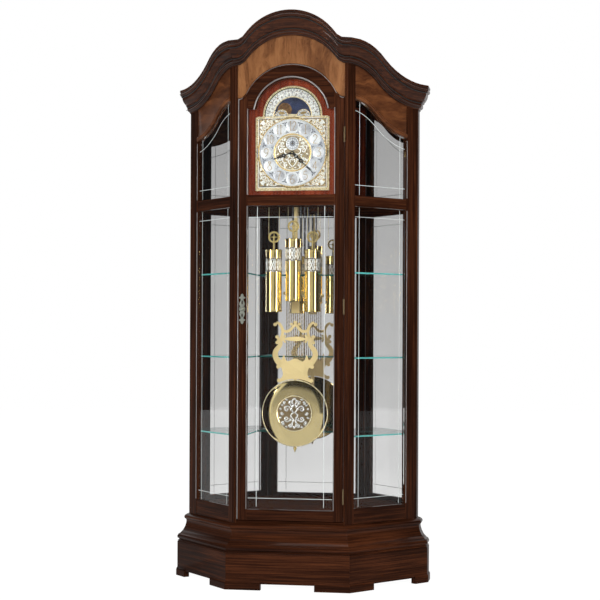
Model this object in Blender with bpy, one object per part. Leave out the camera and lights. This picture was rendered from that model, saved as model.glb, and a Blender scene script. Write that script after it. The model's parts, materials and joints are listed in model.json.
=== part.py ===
"""Curio floor clock: five-sided glazed case, arched door, lyre pendulum and three cable-hung weights.

Metres, +Z up. The clock faces -Y. The origin is on the floor, in the middle of the width and depth.
Plan positions are written as (x, depth), where depth is measured forward from the back plane.
"""

import math

import bmesh
import bpy
from mathutils import Vector

# Case plan
CASE_DEPTH = 0.3682
CASE_HALF_WIDTH = 0.478
FRONT_HALF_WIDTH = 0.2263
RETURN_DEPTH = 0.0695
FOOT_PROJECTION = 0.0508
PLINTH_PROJECTION = 0.046
MOULDING_PROJECTION = 0.047
CORNICE_PROJECTION = 0.043
FRAME_THICKNESS = 0.022
BOARD = 0.018
GAP = 0.0003
OVERRUN = 0.02

# Heights, stacked from the floor
FOOT_HEIGHT = 0.034
FOOT_CLEARANCE = 0.024
PLINTH_HEIGHT = 0.145
MOULDING_HEIGHT = 0.113
SIDE_RAIL_HEIGHT = 0.063
LOWER_PANE_HEIGHT = 1.198
MID_RAIL_HEIGHT = 0.043
CORNER_RISE = 0.517
SIDE_SWEEP_DROP = 0.145
CROWN_RISE = 0.116
CORNICE_HEIGHT = 0.095
BACKING_RISE = 0.080
SIDE_FRIEZE_HEIGHT = 0.130
FLOOR_TOP_RISE = 0.042

# Plinth, feet and frames
PLINTH_THICKNESS = 0.020
FRONT_FOOT_LENGTH = 0.118
CANT_FOOT_LENGTH = 0.106
BACK_FOOT_LENGTH = 0.055
MOULDING_SEAT = 0.024
FRONT_STILE = 0.042
BACK_STILE = 0.065
RAIL_SETBACK = 0.001
BEAD_RADIUS = 0.0042
BEAD_QUIRK = 0.0022
LIP_HEIGHT = 0.018
LIP_PROJECTION = 0.006
SIDE_CONVEX_SHARE = 0.40
FRONT_CONVEX_SHARE = 0.80
DOOR_CONVEX_SHARE = 0.84

# Glass
PANE = 0.005
PANE_SETBACK = 0.008
SHELF = 0.006
SHELF_HEIGHTS = (0.608, 0.920, 1.259)
SHELF_INNER = 0.190
SHELF_SETBACK = 0.0682
SHELF_PLAY = 0.0005
MIRROR_FRONT = 0.015
MIRROR = 0.004
BACK_PANEL = 0.009

# Door
DOOR_HALF_WIDTH = 0.2137
JAMB_GAP = 0.002
SILL_HEIGHT = 0.013
DOOR_RAIL = 0.042
LOWER_WINDOW = 1.209
UPPER_WINDOW = 0.342
WINDOW_HALF_WIDTH = 0.1735
ARCH_HALF_WIDTH = 0.143
ARCH_RISE = 0.119
DOOR_SHOULDER_RISE = 0.041
DOOR_ARCH_RISE = 0.135
ARCH_BEAD_HEIGHT = 0.012
ARCH_BEAD_PROJECTION = 0.004
HINGE_RADIUS = 0.0035
HINGE_STANDOFF = 0.004
HINGE_LENGTH = 0.060
HINGE_LEAF = 0.0014
HINGE_LEAF_DEPTH = 0.018
HINGE_HEIGHTS = (0.370, 1.120, 1.800)
PULL_HEIGHT = 1.111
PULL_X = -0.194
PULL_HALF_LENGTH = 0.061
PULL_HALF_WIDTH = 0.013
PULL_THICKNESS = 0.0022
KNOB_RADIUS = 0.0085
KNOB_STEM_RADIUS = 0.0035
KNOB_REACH = 0.020

# Dial
DIAL_SETBACK = 0.0382
DIAL_CENTRE_RISE = 0.171
DIAL_HALF_WIDTH = 0.149
DIAL_BOTTOM = 0.1515
DIAL_SHOULDER = 0.142
DIAL_ARCH_RADIUS = 0.120
DIAL_PLATE = 0.0025
DIAL_BORDER = 0.007
DIAL_BORDER_RISE = 0.002
MOON_CENTRE_RISE = 0.146
MOON_OPENING_RADIUS = 0.074
MOON_HUMP_RADIUS = 0.027
MOON_HUMP_X = 0.044
MOON_DISC_RADIUS = 0.080
MOON_DISC = 0.002
CHAPTER_OUTER = 0.134
CHAPTER_INNER = 0.072
CHAPTER_THICKNESS = 0.0015
MAT_THICKNESS = 0.006
MAT_OVERLAP = 0.0025
MAT_HALF_WIDTH = 0.215
MAT_TOP_RISE = 0.310
SLOT_HALF_HEIGHT = 0.0175
SLOT_HALF_WIDTH = 0.0026
LEVER_TIP_X = 0.1430
LEVER_PIVOT_X = 0.070
LEVER_HALF_WIDTH = 0.003
LEVER_THICKNESS = 0.0015
LEVER_STEM_RADIUS = 0.0011
LEVER_KNOB_RADIUS = 0.0021
LEVER_KNOB_LENGTH = 0.006

# Hands, each by its length and how far its front face stands off the dial
HOUR_LENGTH = 0.080
MINUTE_LENGTH = 0.126
SECOND_LENGTH = 0.021
HAND_THICKNESS = 0.0012
HOUR_RISE = 0.0050
MINUTE_RISE = 0.0080
SECOND_RISE = 0.0020
SECONDS_RISE = 0.036
HOUR_ANGLE = 251.0
MINUTE_ANGLE = 134.0
SECOND_ANGLE = 0.0
HOUR_PIPE_RADIUS = 0.004
CENTRE_ARBOR_RADIUS = 0.0022
SECONDS_ARBOR_RADIUS = 0.0010
COLLET_WALL = 0.003
WINDING_DROP = 0.044
WINDING_SPREAD = 0.043
WINDING_SIDE_DROP = 0.014
WINDING_HOLE_RADIUS = 0.005
WINDING_SQUARE_RADIUS = 0.0032

# Movement and its board
PLATE_HALF_WIDTH = 0.105
PLATE_BOTTOM_DROP = 0.092
PLATE_TOP_RISE = 0.156
PLATE = 0.003
MOVEMENT_SETBACK = 0.017
PLATE_SPACING = 0.048
PILLAR_RADIUS = 0.005
PILLAR_INSET = 0.012
DRUM_DROP = 0.036
DRUM_RADIUS = 0.020
WHEEL_RADIUS = 0.034
WHEEL_THICKNESS = 0.003
WHEEL_TEETH = 22
WHEEL_TOOTH = 0.0022
SEATBOARD_HALF_WIDTH = 0.155
SEATBOARD_SETBACK = 0.0135
SEATBOARD_REACH = 0.1365
CABLE_SLOT_HALF_WIDTH = 0.112
CABLE_SLOT_HALF_DEPTH = 0.008
PENDULUM_SLOT_HALF_WIDTH = 0.032
PENDULUM_SLOT_HALF_DEPTH = 0.014
MID_BOARD = 0.027
MID_BOARD_DROP = 0.017
WELL_HALF_WIDTH = 0.140
WELL_REACH = 0.2165

# Chime rods and hammers
ROD_COUNT = 5
ROD_SPACING = 0.016
ROD_RADIUS = 0.0035
ROD_LONGEST = 0.620
ROD_STEP = 0.025
ROD_SETBACK = 0.055
BLOCK_RISE = 0.150
BLOCK_HALF_WIDTH = 0.052
BLOCK_HEIGHT = 0.034
HAMMER_PIVOT_RISE = -0.040
HAMMER_SETBACK = 0.090
HAMMER_DRAW = 0.007
HAMMER_HEAD_RISE = 0.105
HAMMER_HEAD_RADIUS = 0.0055
HAMMER_HEAD_LENGTH = 0.026
HAMMER_ARM_RADIUS = 0.0015
HAMMER_ROD_RADIUS = 0.0025
HAMMER_COLLAR_RADIUS = 0.0045
HAMMER_RAIL_HALF_WIDTH = 0.054

# Weights, pulleys and cables
WEIGHT_X = (-0.0785, 0.0, 0.0785)
WEIGHT_BOTTOMS = (1.100, 1.143, 1.100)
WEIGHT_SETBACK = 0.030
WEIGHT_RADIUS = 0.0325
WEIGHT_HEIGHT = 0.250
WEIGHT_RIM = 0.0008
PULLEY_RISE = 0.050
PULLEY_RADIUS = 0.0235
PULLEY_GROOVE_RADIUS = 0.0200
PULLEY_HALF_WIDTH = 0.0035
PULLEY_RIM = 0.0035
PULLEY_HUB_RADIUS = 0.0055
PULLEY_SPOKE_HALF_WIDTH = 0.0013
PULLEY_BORE_RADIUS = 0.0023
PULLEY_PIN_RADIUS = 0.0020
STIRRUP_HALF_WIDTH = 0.0028
STIRRUP_STRAP = 0.0014
STIRRUP_CLEARANCE = 0.0012
STIRRUP_FOOT = 0.020
CABLE_RADIUS = 0.0008
CABLE_RUN_RADIUS = 0.0213

# Pendulum
PENDULUM_SETBACK = 0.023
PIVOT_DROP = 0.076
COCK_HEIGHT = 0.024
COCK_HALF_WIDTH = 0.012
BOB_HEIGHT = 0.6915
BOB_RADIUS = 0.1355
BOB_THICKNESS = 0.021
BOB_EDGE = 0.003
MEDALLION_RADIUS = 0.068
MEDALLION_RING = 0.005
STICK_HALF_WIDTH = 0.007
STICK_THICKNESS = 0.004
STICK_RUN = 0.046
SPRING_HALF_WIDTH = 0.002
SPRING_LENGTH = 0.022
LYRE_HALF_WIDTH = 0.091
LYRE_HEIGHT = 0.238
LYRE_BOB_LAP = 0.003
LYRE_PLATE = 0.003
LYRE_BOB_CLEARANCE = 0.003
GRID_RISE = 0.114
GRID_LENGTH = 0.280
GRID_COUNT = 4
GRID_SPACING = 0.0088
GRID_RADIUS = 0.0012
GRID_BAR = 0.010
GRID_END_RADIUS = 0.007
GRID_BLOCK_HALF_WIDTH = 0.016
GRID_BLOCK_DROP = 0.032
GRID_BLOCK_HEIGHT = 0.048
RATING_ROD_RADIUS = 0.002
RATING_NUT_RADIUS = 0.007
RATING_NUT_HEIGHT = 0.022
RATING_POINT_RADIUS = 0.0012

# Worked out from the sizes above
OVERALL_DEPTH = CASE_DEPTH + FOOT_PROJECTION
BACK_Y = OVERALL_DEPTH / 2
CASE_BOTTOM = PLINTH_HEIGHT + MOULDING_HEIGHT
PANE_BOTTOM = CASE_BOTTOM + SIDE_RAIL_HEIGHT
MID_RAIL_BOTTOM = PANE_BOTTOM + LOWER_PANE_HEIGHT
MID_RAIL_TOP = MID_RAIL_BOTTOM + MID_RAIL_HEIGHT
CORNER_LINE = MID_RAIL_TOP + CORNER_RISE
BACK_LINE = CORNER_LINE - SIDE_SWEEP_DROP
ROOF_TOP = BACK_LINE + BACKING_RISE
FLOOR_TOP = CASE_BOTTOM + FLOOR_TOP_RISE
SHELF_FRONT_DEPTH = CASE_DEPTH - SHELF_SETBACK
DIAL_DEPTH = CASE_DEPTH - DIAL_SETBACK
FRONT_PLATE_DEPTH = DIAL_DEPTH - MOVEMENT_SETBACK
BACK_PLATE_DEPTH = FRONT_PLATE_DEPTH - PLATE_SPACING
SEATBOARD_FRONT = DIAL_DEPTH - SEATBOARD_SETBACK
SEATBOARD_BACK = SEATBOARD_FRONT - SEATBOARD_REACH
WELL_FRONT = SEATBOARD_FRONT
WELL_BACK = WELL_FRONT - WELL_REACH
WEIGHT_DEPTH = DIAL_DEPTH - WEIGHT_SETBACK
PENDULUM_DEPTH = BACK_PLATE_DEPTH - PENDULUM_SETBACK
HAMMER_PIVOT_DEPTH = BACK_PLATE_DEPTH - HAMMER_SETBACK
ROD_DEPTH = HAMMER_PIVOT_DEPTH - ROD_SETBACK
MID_BOARD_TOP = MID_RAIL_TOP - MID_BOARD_DROP
JAMB_X = DOOR_HALF_WIDTH + JAMB_GAP
DOOR_BOTTOM = CASE_BOTTOM + SILL_HEIGHT
WINDOW_BOTTOM = DOOR_BOTTOM + DOOR_RAIL
WINDOW_TOP = WINDOW_BOTTOM + LOWER_WINDOW
UPPER_BOTTOM = WINDOW_TOP + DOOR_RAIL
UPPER_SHOULDER = UPPER_BOTTOM + UPPER_WINDOW
DOOR_SHOULDER = UPPER_SHOULDER + DOOR_SHOULDER_RISE
DIAL_Z = UPPER_BOTTOM + DIAL_CENTRE_RISE
MOON_Z = DIAL_Z + MOON_CENTRE_RISE
SECONDS_Z = DIAL_Z + SECONDS_RISE
SEATBOARD_TOP = DIAL_Z - PLATE_BOTTOM_DROP - GAP
PIVOT_Z = DIAL_Z - PIVOT_DROP
CABLE_TOP = DIAL_Z - DRUM_DROP
LYRE_BOTTOM = BOB_HEIGHT + BOB_RADIUS - LYRE_BOB_LAP
LYRE_TOP = LYRE_BOTTOM + LYRE_HEIGHT
GRID_TOP = LYRE_TOP + GRID_RISE
GRID_BOTTOM = GRID_TOP - GRID_LENGTH
CANT_LENGTH = math.hypot(CASE_HALF_WIDTH - FRONT_HALF_WIDTH, CASE_DEPTH - RETURN_DEPTH)
ALONG = Vector(
    ((CASE_HALF_WIDTH - FRONT_HALF_WIDTH) / CANT_LENGTH, (RETURN_DEPTH - CASE_DEPTH) / CANT_LENGTH)
)
CANT_NORMAL = Vector((-ALONG.y, ALONG.x))
SIDE_NORMAL = Vector((1, 0))
FRONT_NORMAL = Vector((0, 1))
BACK_CORNER = Vector((CASE_HALF_WIDTH, 0))
RETURN_CORNER = Vector((CASE_HALF_WIDTH, RETURN_DEPTH))
FRONT_CORNER = Vector((FRONT_HALF_WIDTH, CASE_DEPTH))
ARCH_STEPS = 24
ROUND_STEPS = 24

for old in list(bpy.data.objects):
    bpy.data.objects.remove(old, do_unlink=True)


def make_material(name, color, roughness, metallic=0.0, transmission=0.0):
    """A plain Principled BSDF material."""
    made = bpy.data.materials.new(name)
    made.use_nodes = True
    shader = made.node_tree.nodes["Principled BSDF"]
    shader.inputs["Base Color"].default_value = (*color, 1.0)
    shader.inputs["Roughness"].default_value = roughness
    shader.inputs["Metallic"].default_value = metallic
    shader.inputs["Transmission Weight"].default_value = transmission
    made.diffuse_color = (*color, 1.0)
    return made


WOOD = make_material("dark_cherry", (0.10, 0.030, 0.016), 0.35)
BURL = make_material("burl_veneer", (0.35, 0.15, 0.055), 0.30)
MAT_WOOD = make_material("dial_surround", (0.22, 0.045, 0.02), 0.35)
BACK_WOOD = make_material("plain_board", (0.16, 0.07, 0.035), 0.6)
GLASS = make_material("clear_glass", (0.9, 0.97, 0.96), 0.02, 0.0, 1.0)
SILVERED = make_material("mirror_silver", (0.9, 0.9, 0.9), 0.03, 1.0)
BRASS = make_material("polished_brass", (0.80, 0.62, 0.25), 0.18, 1.0)
SATIN_BRASS = make_material("satin_brass", (0.72, 0.56, 0.26), 0.38, 1.0)
SILVER = make_material("silvered_metal", (0.75, 0.75, 0.76), 0.35, 1.0)
BLACK = make_material("black_enamel", (0.01, 0.01, 0.012), 0.3)
BLUE = make_material("night_blue", (0.015, 0.025, 0.08), 0.4)
IRON = make_material("cast_iron", (0.05, 0.05, 0.05), 0.6, 1.0)
STEEL = make_material("steel", (0.45, 0.45, 0.46), 0.3, 1.0)
PEWTER = make_material("antique_brass", (0.45, 0.40, 0.27), 0.4, 1.0)


def place(x, depth, z):
    """The point in space for a plan position and a height."""
    return Vector((x, BACK_Y - depth, z))


def link_mesh(name, points, faces, material):
    """A closed mesh object with its faces pointing out."""
    data = bpy.data.meshes.new(name)
    data.from_pydata([tuple(point) for point in points], [], faces)
    shape = bmesh.new()
    shape.from_mesh(data)
    bmesh.ops.remove_doubles(shape, verts=shape.verts, dist=BOB_RADIUS * 1e-6)
    bmesh.ops.recalc_face_normals(shape, faces=shape.faces)
    shape.to_mesh(data)
    shape.free()
    data.materials.append(material)
    made = bpy.data.objects.new(name, data)
    bpy.context.scene.collection.objects.link(made)
    return made


def loft(name, rings, material, closed=False):
    """A skin through rings of equally many points, with flat ends unless it closes on itself."""
    size = len(rings[0])
    points = [point for ring in rings for point in ring]
    faces = []
    for index in range(len(rings) if closed else len(rings) - 1):
        after = (index + 1) % len(rings)
        for corner in range(size):
            following = (corner + 1) % size
            faces.append(
                (
                    index * size + corner,
                    index * size + following,
                    after * size + following,
                    after * size + corner,
                )
            )
    if not closed:
        faces.append(tuple(range(size)))
        faces.append(tuple(range((len(rings) - 1) * size, len(rings) * size)))
    return link_mesh(name, points, faces, material)


def prism(name, outline, low, high, material):
    """A plan outline of (x, depth) points, carried from one height to another."""
    return loft(name, [[place(x, depth, z) for x, depth in outline] for z in (low, high)], material)


def slab(name, outline, back, front, material):
    """A front-view outline of (x, z) points, carried from one depth to another."""
    return loft(name, [[place(x, depth, z) for x, z in outline] for depth in (back, front)], material)


def block(name, x_range, depth_range, z_range, material):
    """A box between two values on each axis."""
    left, right = x_range
    back, front = depth_range
    outline = [(left, back), (right, back), (right, front), (left, front)]
    return prism(name, outline, z_range[0], z_range[1], material)


def circle(x, z, radius, steps=ROUND_STEPS):
    """Points round a circle, in any two coordinates."""
    turn = 2 * math.pi / steps
    return [(x + radius * math.cos(turn * i), z + radius * math.sin(turn * i)) for i in range(steps)]


def ellipse(x, z, half_x, half_z, steps=ROUND_STEPS):
    """Points round an ellipse, in any two coordinates."""
    return [(x + half_x * across, z + half_z * up) for across, up in circle(0, 0, 1, steps)]


def peg(name, x, z, radius, back, front, material, steps=ROUND_STEPS):
    """A round bar that runs forward."""
    return slab(name, circle(x, z, radius, steps), back, front, material)


def post(name, x, depth, radius, low, high, material, steps=ROUND_STEPS):
    """A round bar that stands up."""
    return prism(name, circle(x, depth, radius, steps), low, high, material)


def turned(name, profile, to_point, material, steps=ROUND_STEPS):
    """A profile of (radius, height) points that is turned once round and closes on itself."""
    rings = []
    for i in range(steps):
        angle = 2 * math.pi * i / steps
        rings.append([to_point(radius, angle, height) for radius, height in profile])
    return loft(name, rings, material, closed=True)


def turned_solid(name, profile, to_point, material, steps=ROUND_STEPS):
    """Stacked rings of (radius, height), with flat ends."""
    turn = 2 * math.pi / steps
    rings = [[to_point(radius, turn * i, height) for i in range(steps)] for radius, height in profile]
    return loft(name, rings, material)


def forward_axis(x, z, depth):
    """Turns (radius, angle, height) into a point round an axis that runs forward."""

    def to_point(radius, angle, height):
        return place(x + radius * math.cos(angle), depth + height, z + radius * math.sin(angle))

    return to_point


def upright_axis(x, depth, z):
    """Turns (radius, angle, height) into a point round an axis that stands up."""

    def to_point(radius, angle, height):
        return place(x + radius * math.cos(angle), depth + radius * math.sin(angle), z + height)

    return to_point


def settle(target):
    """Replaces an object's mesh with its evaluated one and clears its modifiers."""
    graph = bpy.context.evaluated_depsgraph_get()
    finished = bpy.data.meshes.new_from_object(target.evaluated_get(graph))
    target.modifiers.clear()
    target.data = finished


def combine(target, others, operation):
    """Joins or cuts the target with each other object in turn, which is then removed."""
    for other in others:
        other.hide_render = True
        other.display_type = "WIRE"
        step = target.modifiers.new(operation.lower(), "BOOLEAN")
        step.operation = operation
        step.solver = "EXACT"
        step.object = other
        bpy.context.view_layer.update()
        settle(target)
        bpy.data.objects.remove(other, do_unlink=True)
    return target


def fuse(target, others):
    """One body from several that overlap."""
    return combine(target, others, "UNION")


def cut(target, cutters):
    """The target without what the cutters cover."""
    return combine(target, cutters, "DIFFERENCE")


def pivot_at(target, point):
    """Moves an object's origin to a point, with its shape left where it is."""
    for vertex in target.data.vertices:
        vertex.co -= point
    target.location = point
    return target


def smooth_round(target, sharp_degrees=35):
    """Shades a round piece smooth, with its sharp edges kept."""
    target.data.shade_smooth()
    target.data.set_sharp_from_angle(angle=math.radians(sharp_degrees))
    return target


def ogee_drop(run, length, drop, convex_share):
    """How far a level-ended curve of two tangent arcs has fallen after a run from its high end."""
    bend = 2 * math.atan2(drop, length)
    convex = convex_share * length / math.sin(bend)
    concave = (1 - convex_share) * length / math.sin(bend)
    if run <= convex * math.sin(bend):
        return convex - math.sqrt(convex**2 - run**2)
    return drop - (concave - math.sqrt(concave**2 - (length - run) ** 2))


def front_line(x):
    """Height of the case's top line on the front."""
    run = min(abs(x), FRONT_HALF_WIDTH)
    return CORNER_LINE + CROWN_RISE - ogee_drop(run, FRONT_HALF_WIDTH, CROWN_RISE, FRONT_CONVEX_SHARE)


def side_line(distance):
    """Height of the case's top line on a cant, this far from the front corner."""
    return CORNER_LINE - ogee_drop(distance, CANT_LENGTH, SIDE_SWEEP_DROP, SIDE_CONVEX_SHARE)


def door_line(x):
    """Height of the door's top edge."""
    if abs(x) >= DOOR_HALF_WIDTH:
        return DOOR_SHOULDER
    drop = ogee_drop(abs(x), DOOR_HALF_WIDTH, DOOR_ARCH_RISE, DOOR_CONVEX_SHARE)
    return DOOR_SHOULDER + DOOR_ARCH_RISE - drop


def arc(x, z, radius, start, end, steps):
    """Points along an arc, from a start angle to an end angle in degrees."""
    turn = math.radians(end - start) / steps
    first = math.radians(start)
    return [
        (x + radius * math.cos(first + turn * i), z + radius * math.sin(first + turn * i))
        for i in range(steps + 1)
    ]


def mitre(first, second):
    """The direction that a profile runs out along at a corner between two faces."""
    return (first + second) / (1 + first.dot(second))


def on_cant(distance):
    """A plan point on the cant's outer face, this far from the front corner."""
    return FRONT_CORNER + distance * ALONG


RETURN_MITRE = mitre(SIDE_NORMAL, CANT_NORMAL)
FRONT_MITRE = mitre(CANT_NORMAL, FRONT_NORMAL)


def mirrored(stations):
    """The same stations on the left side, from back to front."""
    flipped = []
    for origin, direction, line in reversed(stations):
        flipped.append((Vector((-origin.x, origin.y)), Vector((-direction.x, direction.y)), line))
    return flipped


def side_stations(steps, line, mitre_gap=GAP):
    """Stations from just behind the front mitre, along the cant and the return, to the back plane."""
    stations = []
    for i in range(steps + 1):
        distance = CANT_LENGTH * i / steps
        origin, direction = on_cant(distance), CANT_NORMAL
        if i == 0:
            origin, direction = on_cant(mitre_gap), FRONT_MITRE
        if i == steps:
            origin, direction = RETURN_CORNER, RETURN_MITRE
        stations.append((origin, direction, line(distance)))
    stations.append((BACK_CORNER, SIDE_NORMAL, line(CANT_LENGTH)))
    return stations


def front_stations(steps, line):
    """Stations across the front from mitre to mitre, from right to left."""
    stations = []
    for i in range(steps + 1):
        x = FRONT_HALF_WIDTH * (1 - 2 * i / steps)
        direction = FRONT_NORMAL
        if i == 0:
            direction = FRONT_MITRE
        if i == steps:
            direction = Vector((-FRONT_MITRE.x, FRONT_MITRE.y))
        stations.append((Vector((x, CASE_DEPTH)), direction, line(x)))
    return stations


def sweep(name, stations, section, material):
    """Carries a section of (offset, height) points along stations, each with its own base line."""
    rings = []
    for origin, direction, line in stations:
        ring = []
        for offset, height in section:
            spot = origin + offset * direction
            ring.append(place(spot.x, spot.y, line + height))
        rings.append(ring)
    return loft(name, rings, material)


CORNICE_SHARES = (
    (1.00, 0.00),
    (1.00, 0.08),
    (0.94, 0.10),
    (0.98, 0.15),
    (0.98, 0.21),
    (0.92, 0.26),
    (0.80, 0.28),
    (0.78, 0.38),
    (0.70, 0.49),
    (0.56, 0.59),
    (0.44, 0.65),
    (0.44, 0.70),
    (0.30, 0.72),
    (0.33, 0.78),
    (0.31, 0.86),
    (0.22, 0.92),
    (0.09, 0.94),
    (0.08, 1.00),
)

MOULDING_SHARES = (
    (0.03, 1.00),
    (0.20, 0.975),
    (0.36, 0.93),
    (0.42, 0.87),
    (0.36, 0.81),
    (0.25, 0.785),
    (0.23, 0.73),
    (0.25, 0.65),
    (0.34, 0.52),
    (0.52, 0.38),
    (0.74, 0.28),
    (0.92, 0.235),
    (0.94, 0.20),
    (1.00, 0.16),
    (0.97, 0.10),
    (0.84, 0.07),
    (0.83, 0.045),
    (0.95, 0.02),
    (0.95, 0.00),
)


def cornice_section():
    """The cornice's outline, up from its line, with its back against the case."""
    face = [
        (GAP + CORNICE_PROJECTION * share, CORNICE_HEIGHT * (1 - drop)) for share, drop in CORNICE_SHARES
    ]
    return face + [(GAP, 0), (GAP, CORNICE_HEIGHT)]


def make_cornice():
    """Three lengths of crown moulding, mitred at the front corners and swept over the arch."""
    section = cornice_section()
    right = side_stations(14, side_line)
    made = [
        sweep("cornice_right", right, section, WOOD),
        sweep("cornice_left", mirrored(right), section, WOOD),
        sweep("cornice_front", front_stations(ARCH_STEPS, front_line), section, WOOD),
    ]
    for piece in made:
        smooth_round(piece)


def plinth_board_section():
    """The plinth board, clear of the floor between its feet."""
    outer = PLINTH_PROJECTION
    inner = PLINTH_PROJECTION - PLINTH_THICKNESS
    top = PLINTH_HEIGHT - GAP
    ease = PLINTH_THICKNESS / 6
    return [
        (outer, FOOT_CLEARANCE),
        (outer, top - ease),
        (outer - ease, top),
        (inner, top),
        (inner, FOOT_CLEARANCE),
    ]


def foot_section():
    """The moulded foot, proud of the plinth and standing on the floor."""
    inner = PLINTH_PROJECTION - PLINTH_THICKNESS + RAIL_SETBACK
    proud = FOOT_PROJECTION - PLINTH_PROJECTION
    buried = PLINTH_PROJECTION - RAIL_SETBACK
    return [
        (inner, 0),
        (FOOT_PROJECTION, 0),
        (FOOT_PROJECTION, FOOT_HEIGHT * 0.70),
        (FOOT_PROJECTION - proud * 0.3, FOOT_HEIGHT * 0.86),
        (FOOT_PROJECTION - proud * 0.8, FOOT_HEIGHT * 0.95),
        (buried, FOOT_HEIGHT),
        (inner, FOOT_HEIGHT),
    ]


def level(_):
    """A base line on the floor."""
    return 0.0


def make_plinth():
    """Front and side boards on bracket feet, mitred at the front corners."""
    board, foot = plinth_board_section(), foot_section()
    front = front_stations(1, level)
    front_board = sweep("plinth_front", front, board, WOOD)
    feet = []
    for side in (1, -1):
        start = Vector((side * (FRONT_HALF_WIDTH - GAP), CASE_DEPTH))
        end = Vector((side * (FRONT_HALF_WIDTH - FRONT_FOOT_LENGTH), CASE_DEPTH))
        corner = Vector((side * FRONT_MITRE.x, FRONT_MITRE.y))
        feet.append(sweep("foot", [(start, corner, 0.0), (end, FRONT_NORMAL, 0.0)], foot, WOOD))
    fuse(front_board, feet)

    whole = side_stations(1, level)
    back_end = BACK_CORNER + GAP * FRONT_NORMAL
    front_foot = [(on_cant(2 * GAP), FRONT_MITRE, 0.0), (on_cant(CANT_FOOT_LENGTH), CANT_NORMAL, 0.0)]
    back_foot = [
        (on_cant(CANT_LENGTH - BACK_FOOT_LENGTH), CANT_NORMAL, 0.0),
        (RETURN_CORNER, RETURN_MITRE, 0.0),
        (back_end, SIDE_NORMAL, 0.0),
    ]
    right = sweep("plinth_right", whole, board, WOOD)
    fuse(right, [sweep("foot", stations, foot, WOOD) for stations in (front_foot, back_foot)])
    flip(right, "plinth_left")


def make_base_moulding():
    """The moulding that carries the case on the plinth, in one mitred run."""
    section = [
        (MOULDING_PROJECTION * share, PLINTH_HEIGHT + MOULDING_HEIGHT * height)
        for share, height in MOULDING_SHARES
    ]
    section += [(-MOULDING_SEAT, PLINTH_HEIGHT), (-MOULDING_SEAT, CASE_BOTTOM)]
    right = side_stations(1, level, 0.0)
    made = sweep("base_moulding", mirrored(right) + right, section, WOOD)
    smooth_round(made)


def inner_outline(offset, front_depth, back_depth):
    """The inside of the case in plan: right half and left half, cut off at two depths."""
    back_right = Vector((CASE_HALF_WIDTH - offset, back_depth))
    bend = RETURN_CORNER - offset * RETURN_MITRE
    front = FRONT_CORNER - offset * FRONT_MITRE
    reach = (front_depth - bend.y) / (front.y - bend.y)
    clipped = bend.lerp(front, reach)
    right = [tuple(back_right), tuple(bend), (clipped.x, front_depth)]
    return right + [(-x, depth) for x, depth in reversed(right)]


def bead_outline():
    """The front corner post in plan: jamb, corner bead between quirks, and the cant's front stile."""
    centre = FRONT_CORNER - BEAD_RADIUS * FRONT_MITRE
    front_angle, cant_angle = 90.0, math.degrees(math.atan2(CANT_NORMAL.y, CANT_NORMAL.x))
    quirk_turn = 58.0
    bead = arc(centre.x, centre.y, BEAD_RADIUS, front_angle + quirk_turn, cant_angle - quirk_turn, 9)
    front_land = Vector((centre.x - 1.35 * BEAD_RADIUS, CASE_DEPTH))
    cant_land = FRONT_CORNER + 2.1 * BEAD_RADIUS * ALONG
    stile_end = on_cant(FRONT_STILE)
    stile_inner = stile_end - FRAME_THICKNESS * CANT_NORMAL
    inner = FRONT_CORNER - FRAME_THICKNESS * FRONT_MITRE
    return (
        [tuple(inner), (JAMB_X, CASE_DEPTH - FRAME_THICKNESS), (JAMB_X, CASE_DEPTH), tuple(front_land)]
        + [(front_land.x, CASE_DEPTH - BEAD_QUIRK)]
        + bead
        + [tuple(cant_land - BEAD_QUIRK * CANT_NORMAL), tuple(cant_land)]
        + [tuple(stile_end), tuple(stile_inner)]
    )


def back_post_outline():
    """The back corner post in plan: the cant's back stile and the square return behind it."""
    start = on_cant(CANT_LENGTH - BACK_STILE)
    return [
        tuple(start),
        tuple(RETURN_CORNER),
        tuple(BACK_CORNER),
        (CASE_HALF_WIDTH - FRAME_THICKNESS, 0),
        tuple(RETURN_CORNER - FRAME_THICKNESS * RETURN_MITRE),
        tuple(start - FRAME_THICKNESS * CANT_NORMAL),
    ]


def cant_board(name, near, far, low, high, front_offset, back_offset, material):
    """A flat board in the cant's plane, between two distances from the front corner."""
    outline = [
        tuple(on_cant(near) + front_offset * CANT_NORMAL),
        tuple(on_cant(far) + front_offset * CANT_NORMAL),
        tuple(on_cant(far) + back_offset * CANT_NORMAL),
        tuple(on_cant(near) + back_offset * CANT_NORMAL),
    ]
    return prism(name, outline, low, high, material)


def flip(source, name):
    """A mirrored copy for the left side."""
    data = source.data.copy()
    made = bpy.data.objects.new(name, data)
    bpy.context.scene.collection.objects.link(made)
    for vertex in data.vertices:
        vertex.co.x = -vertex.co.x
    data.flip_normals()
    return made


def make_side_frames():
    """The glued-up canted sides: corner post, back post, bottom rail and middle rail."""
    low = CASE_BOTTOM + GAP
    frame = prism("side_frame_right", bead_outline(), low, CORNER_LINE + BACKING_RISE, WOOD)
    back = prism("back", back_post_outline(), low, BACK_LINE + BACKING_RISE, WOOD)
    near = FRONT_STILE - PANE
    far = CANT_LENGTH - BACK_STILE + PANE
    front, rear = -RAIL_SETBACK, RAIL_SETBACK - FRAME_THICKNESS
    bottom = cant_board("bottom", near, far, low + RAIL_SETBACK, PANE_BOTTOM, front, rear, WOOD)
    middle = cant_board("middle", near, far, MID_RAIL_BOTTOM, MID_RAIL_TOP, front, rear, WOOD)
    fuse(frame, [bottom, middle, back])
    flip(frame, "side_frame_left")


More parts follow.
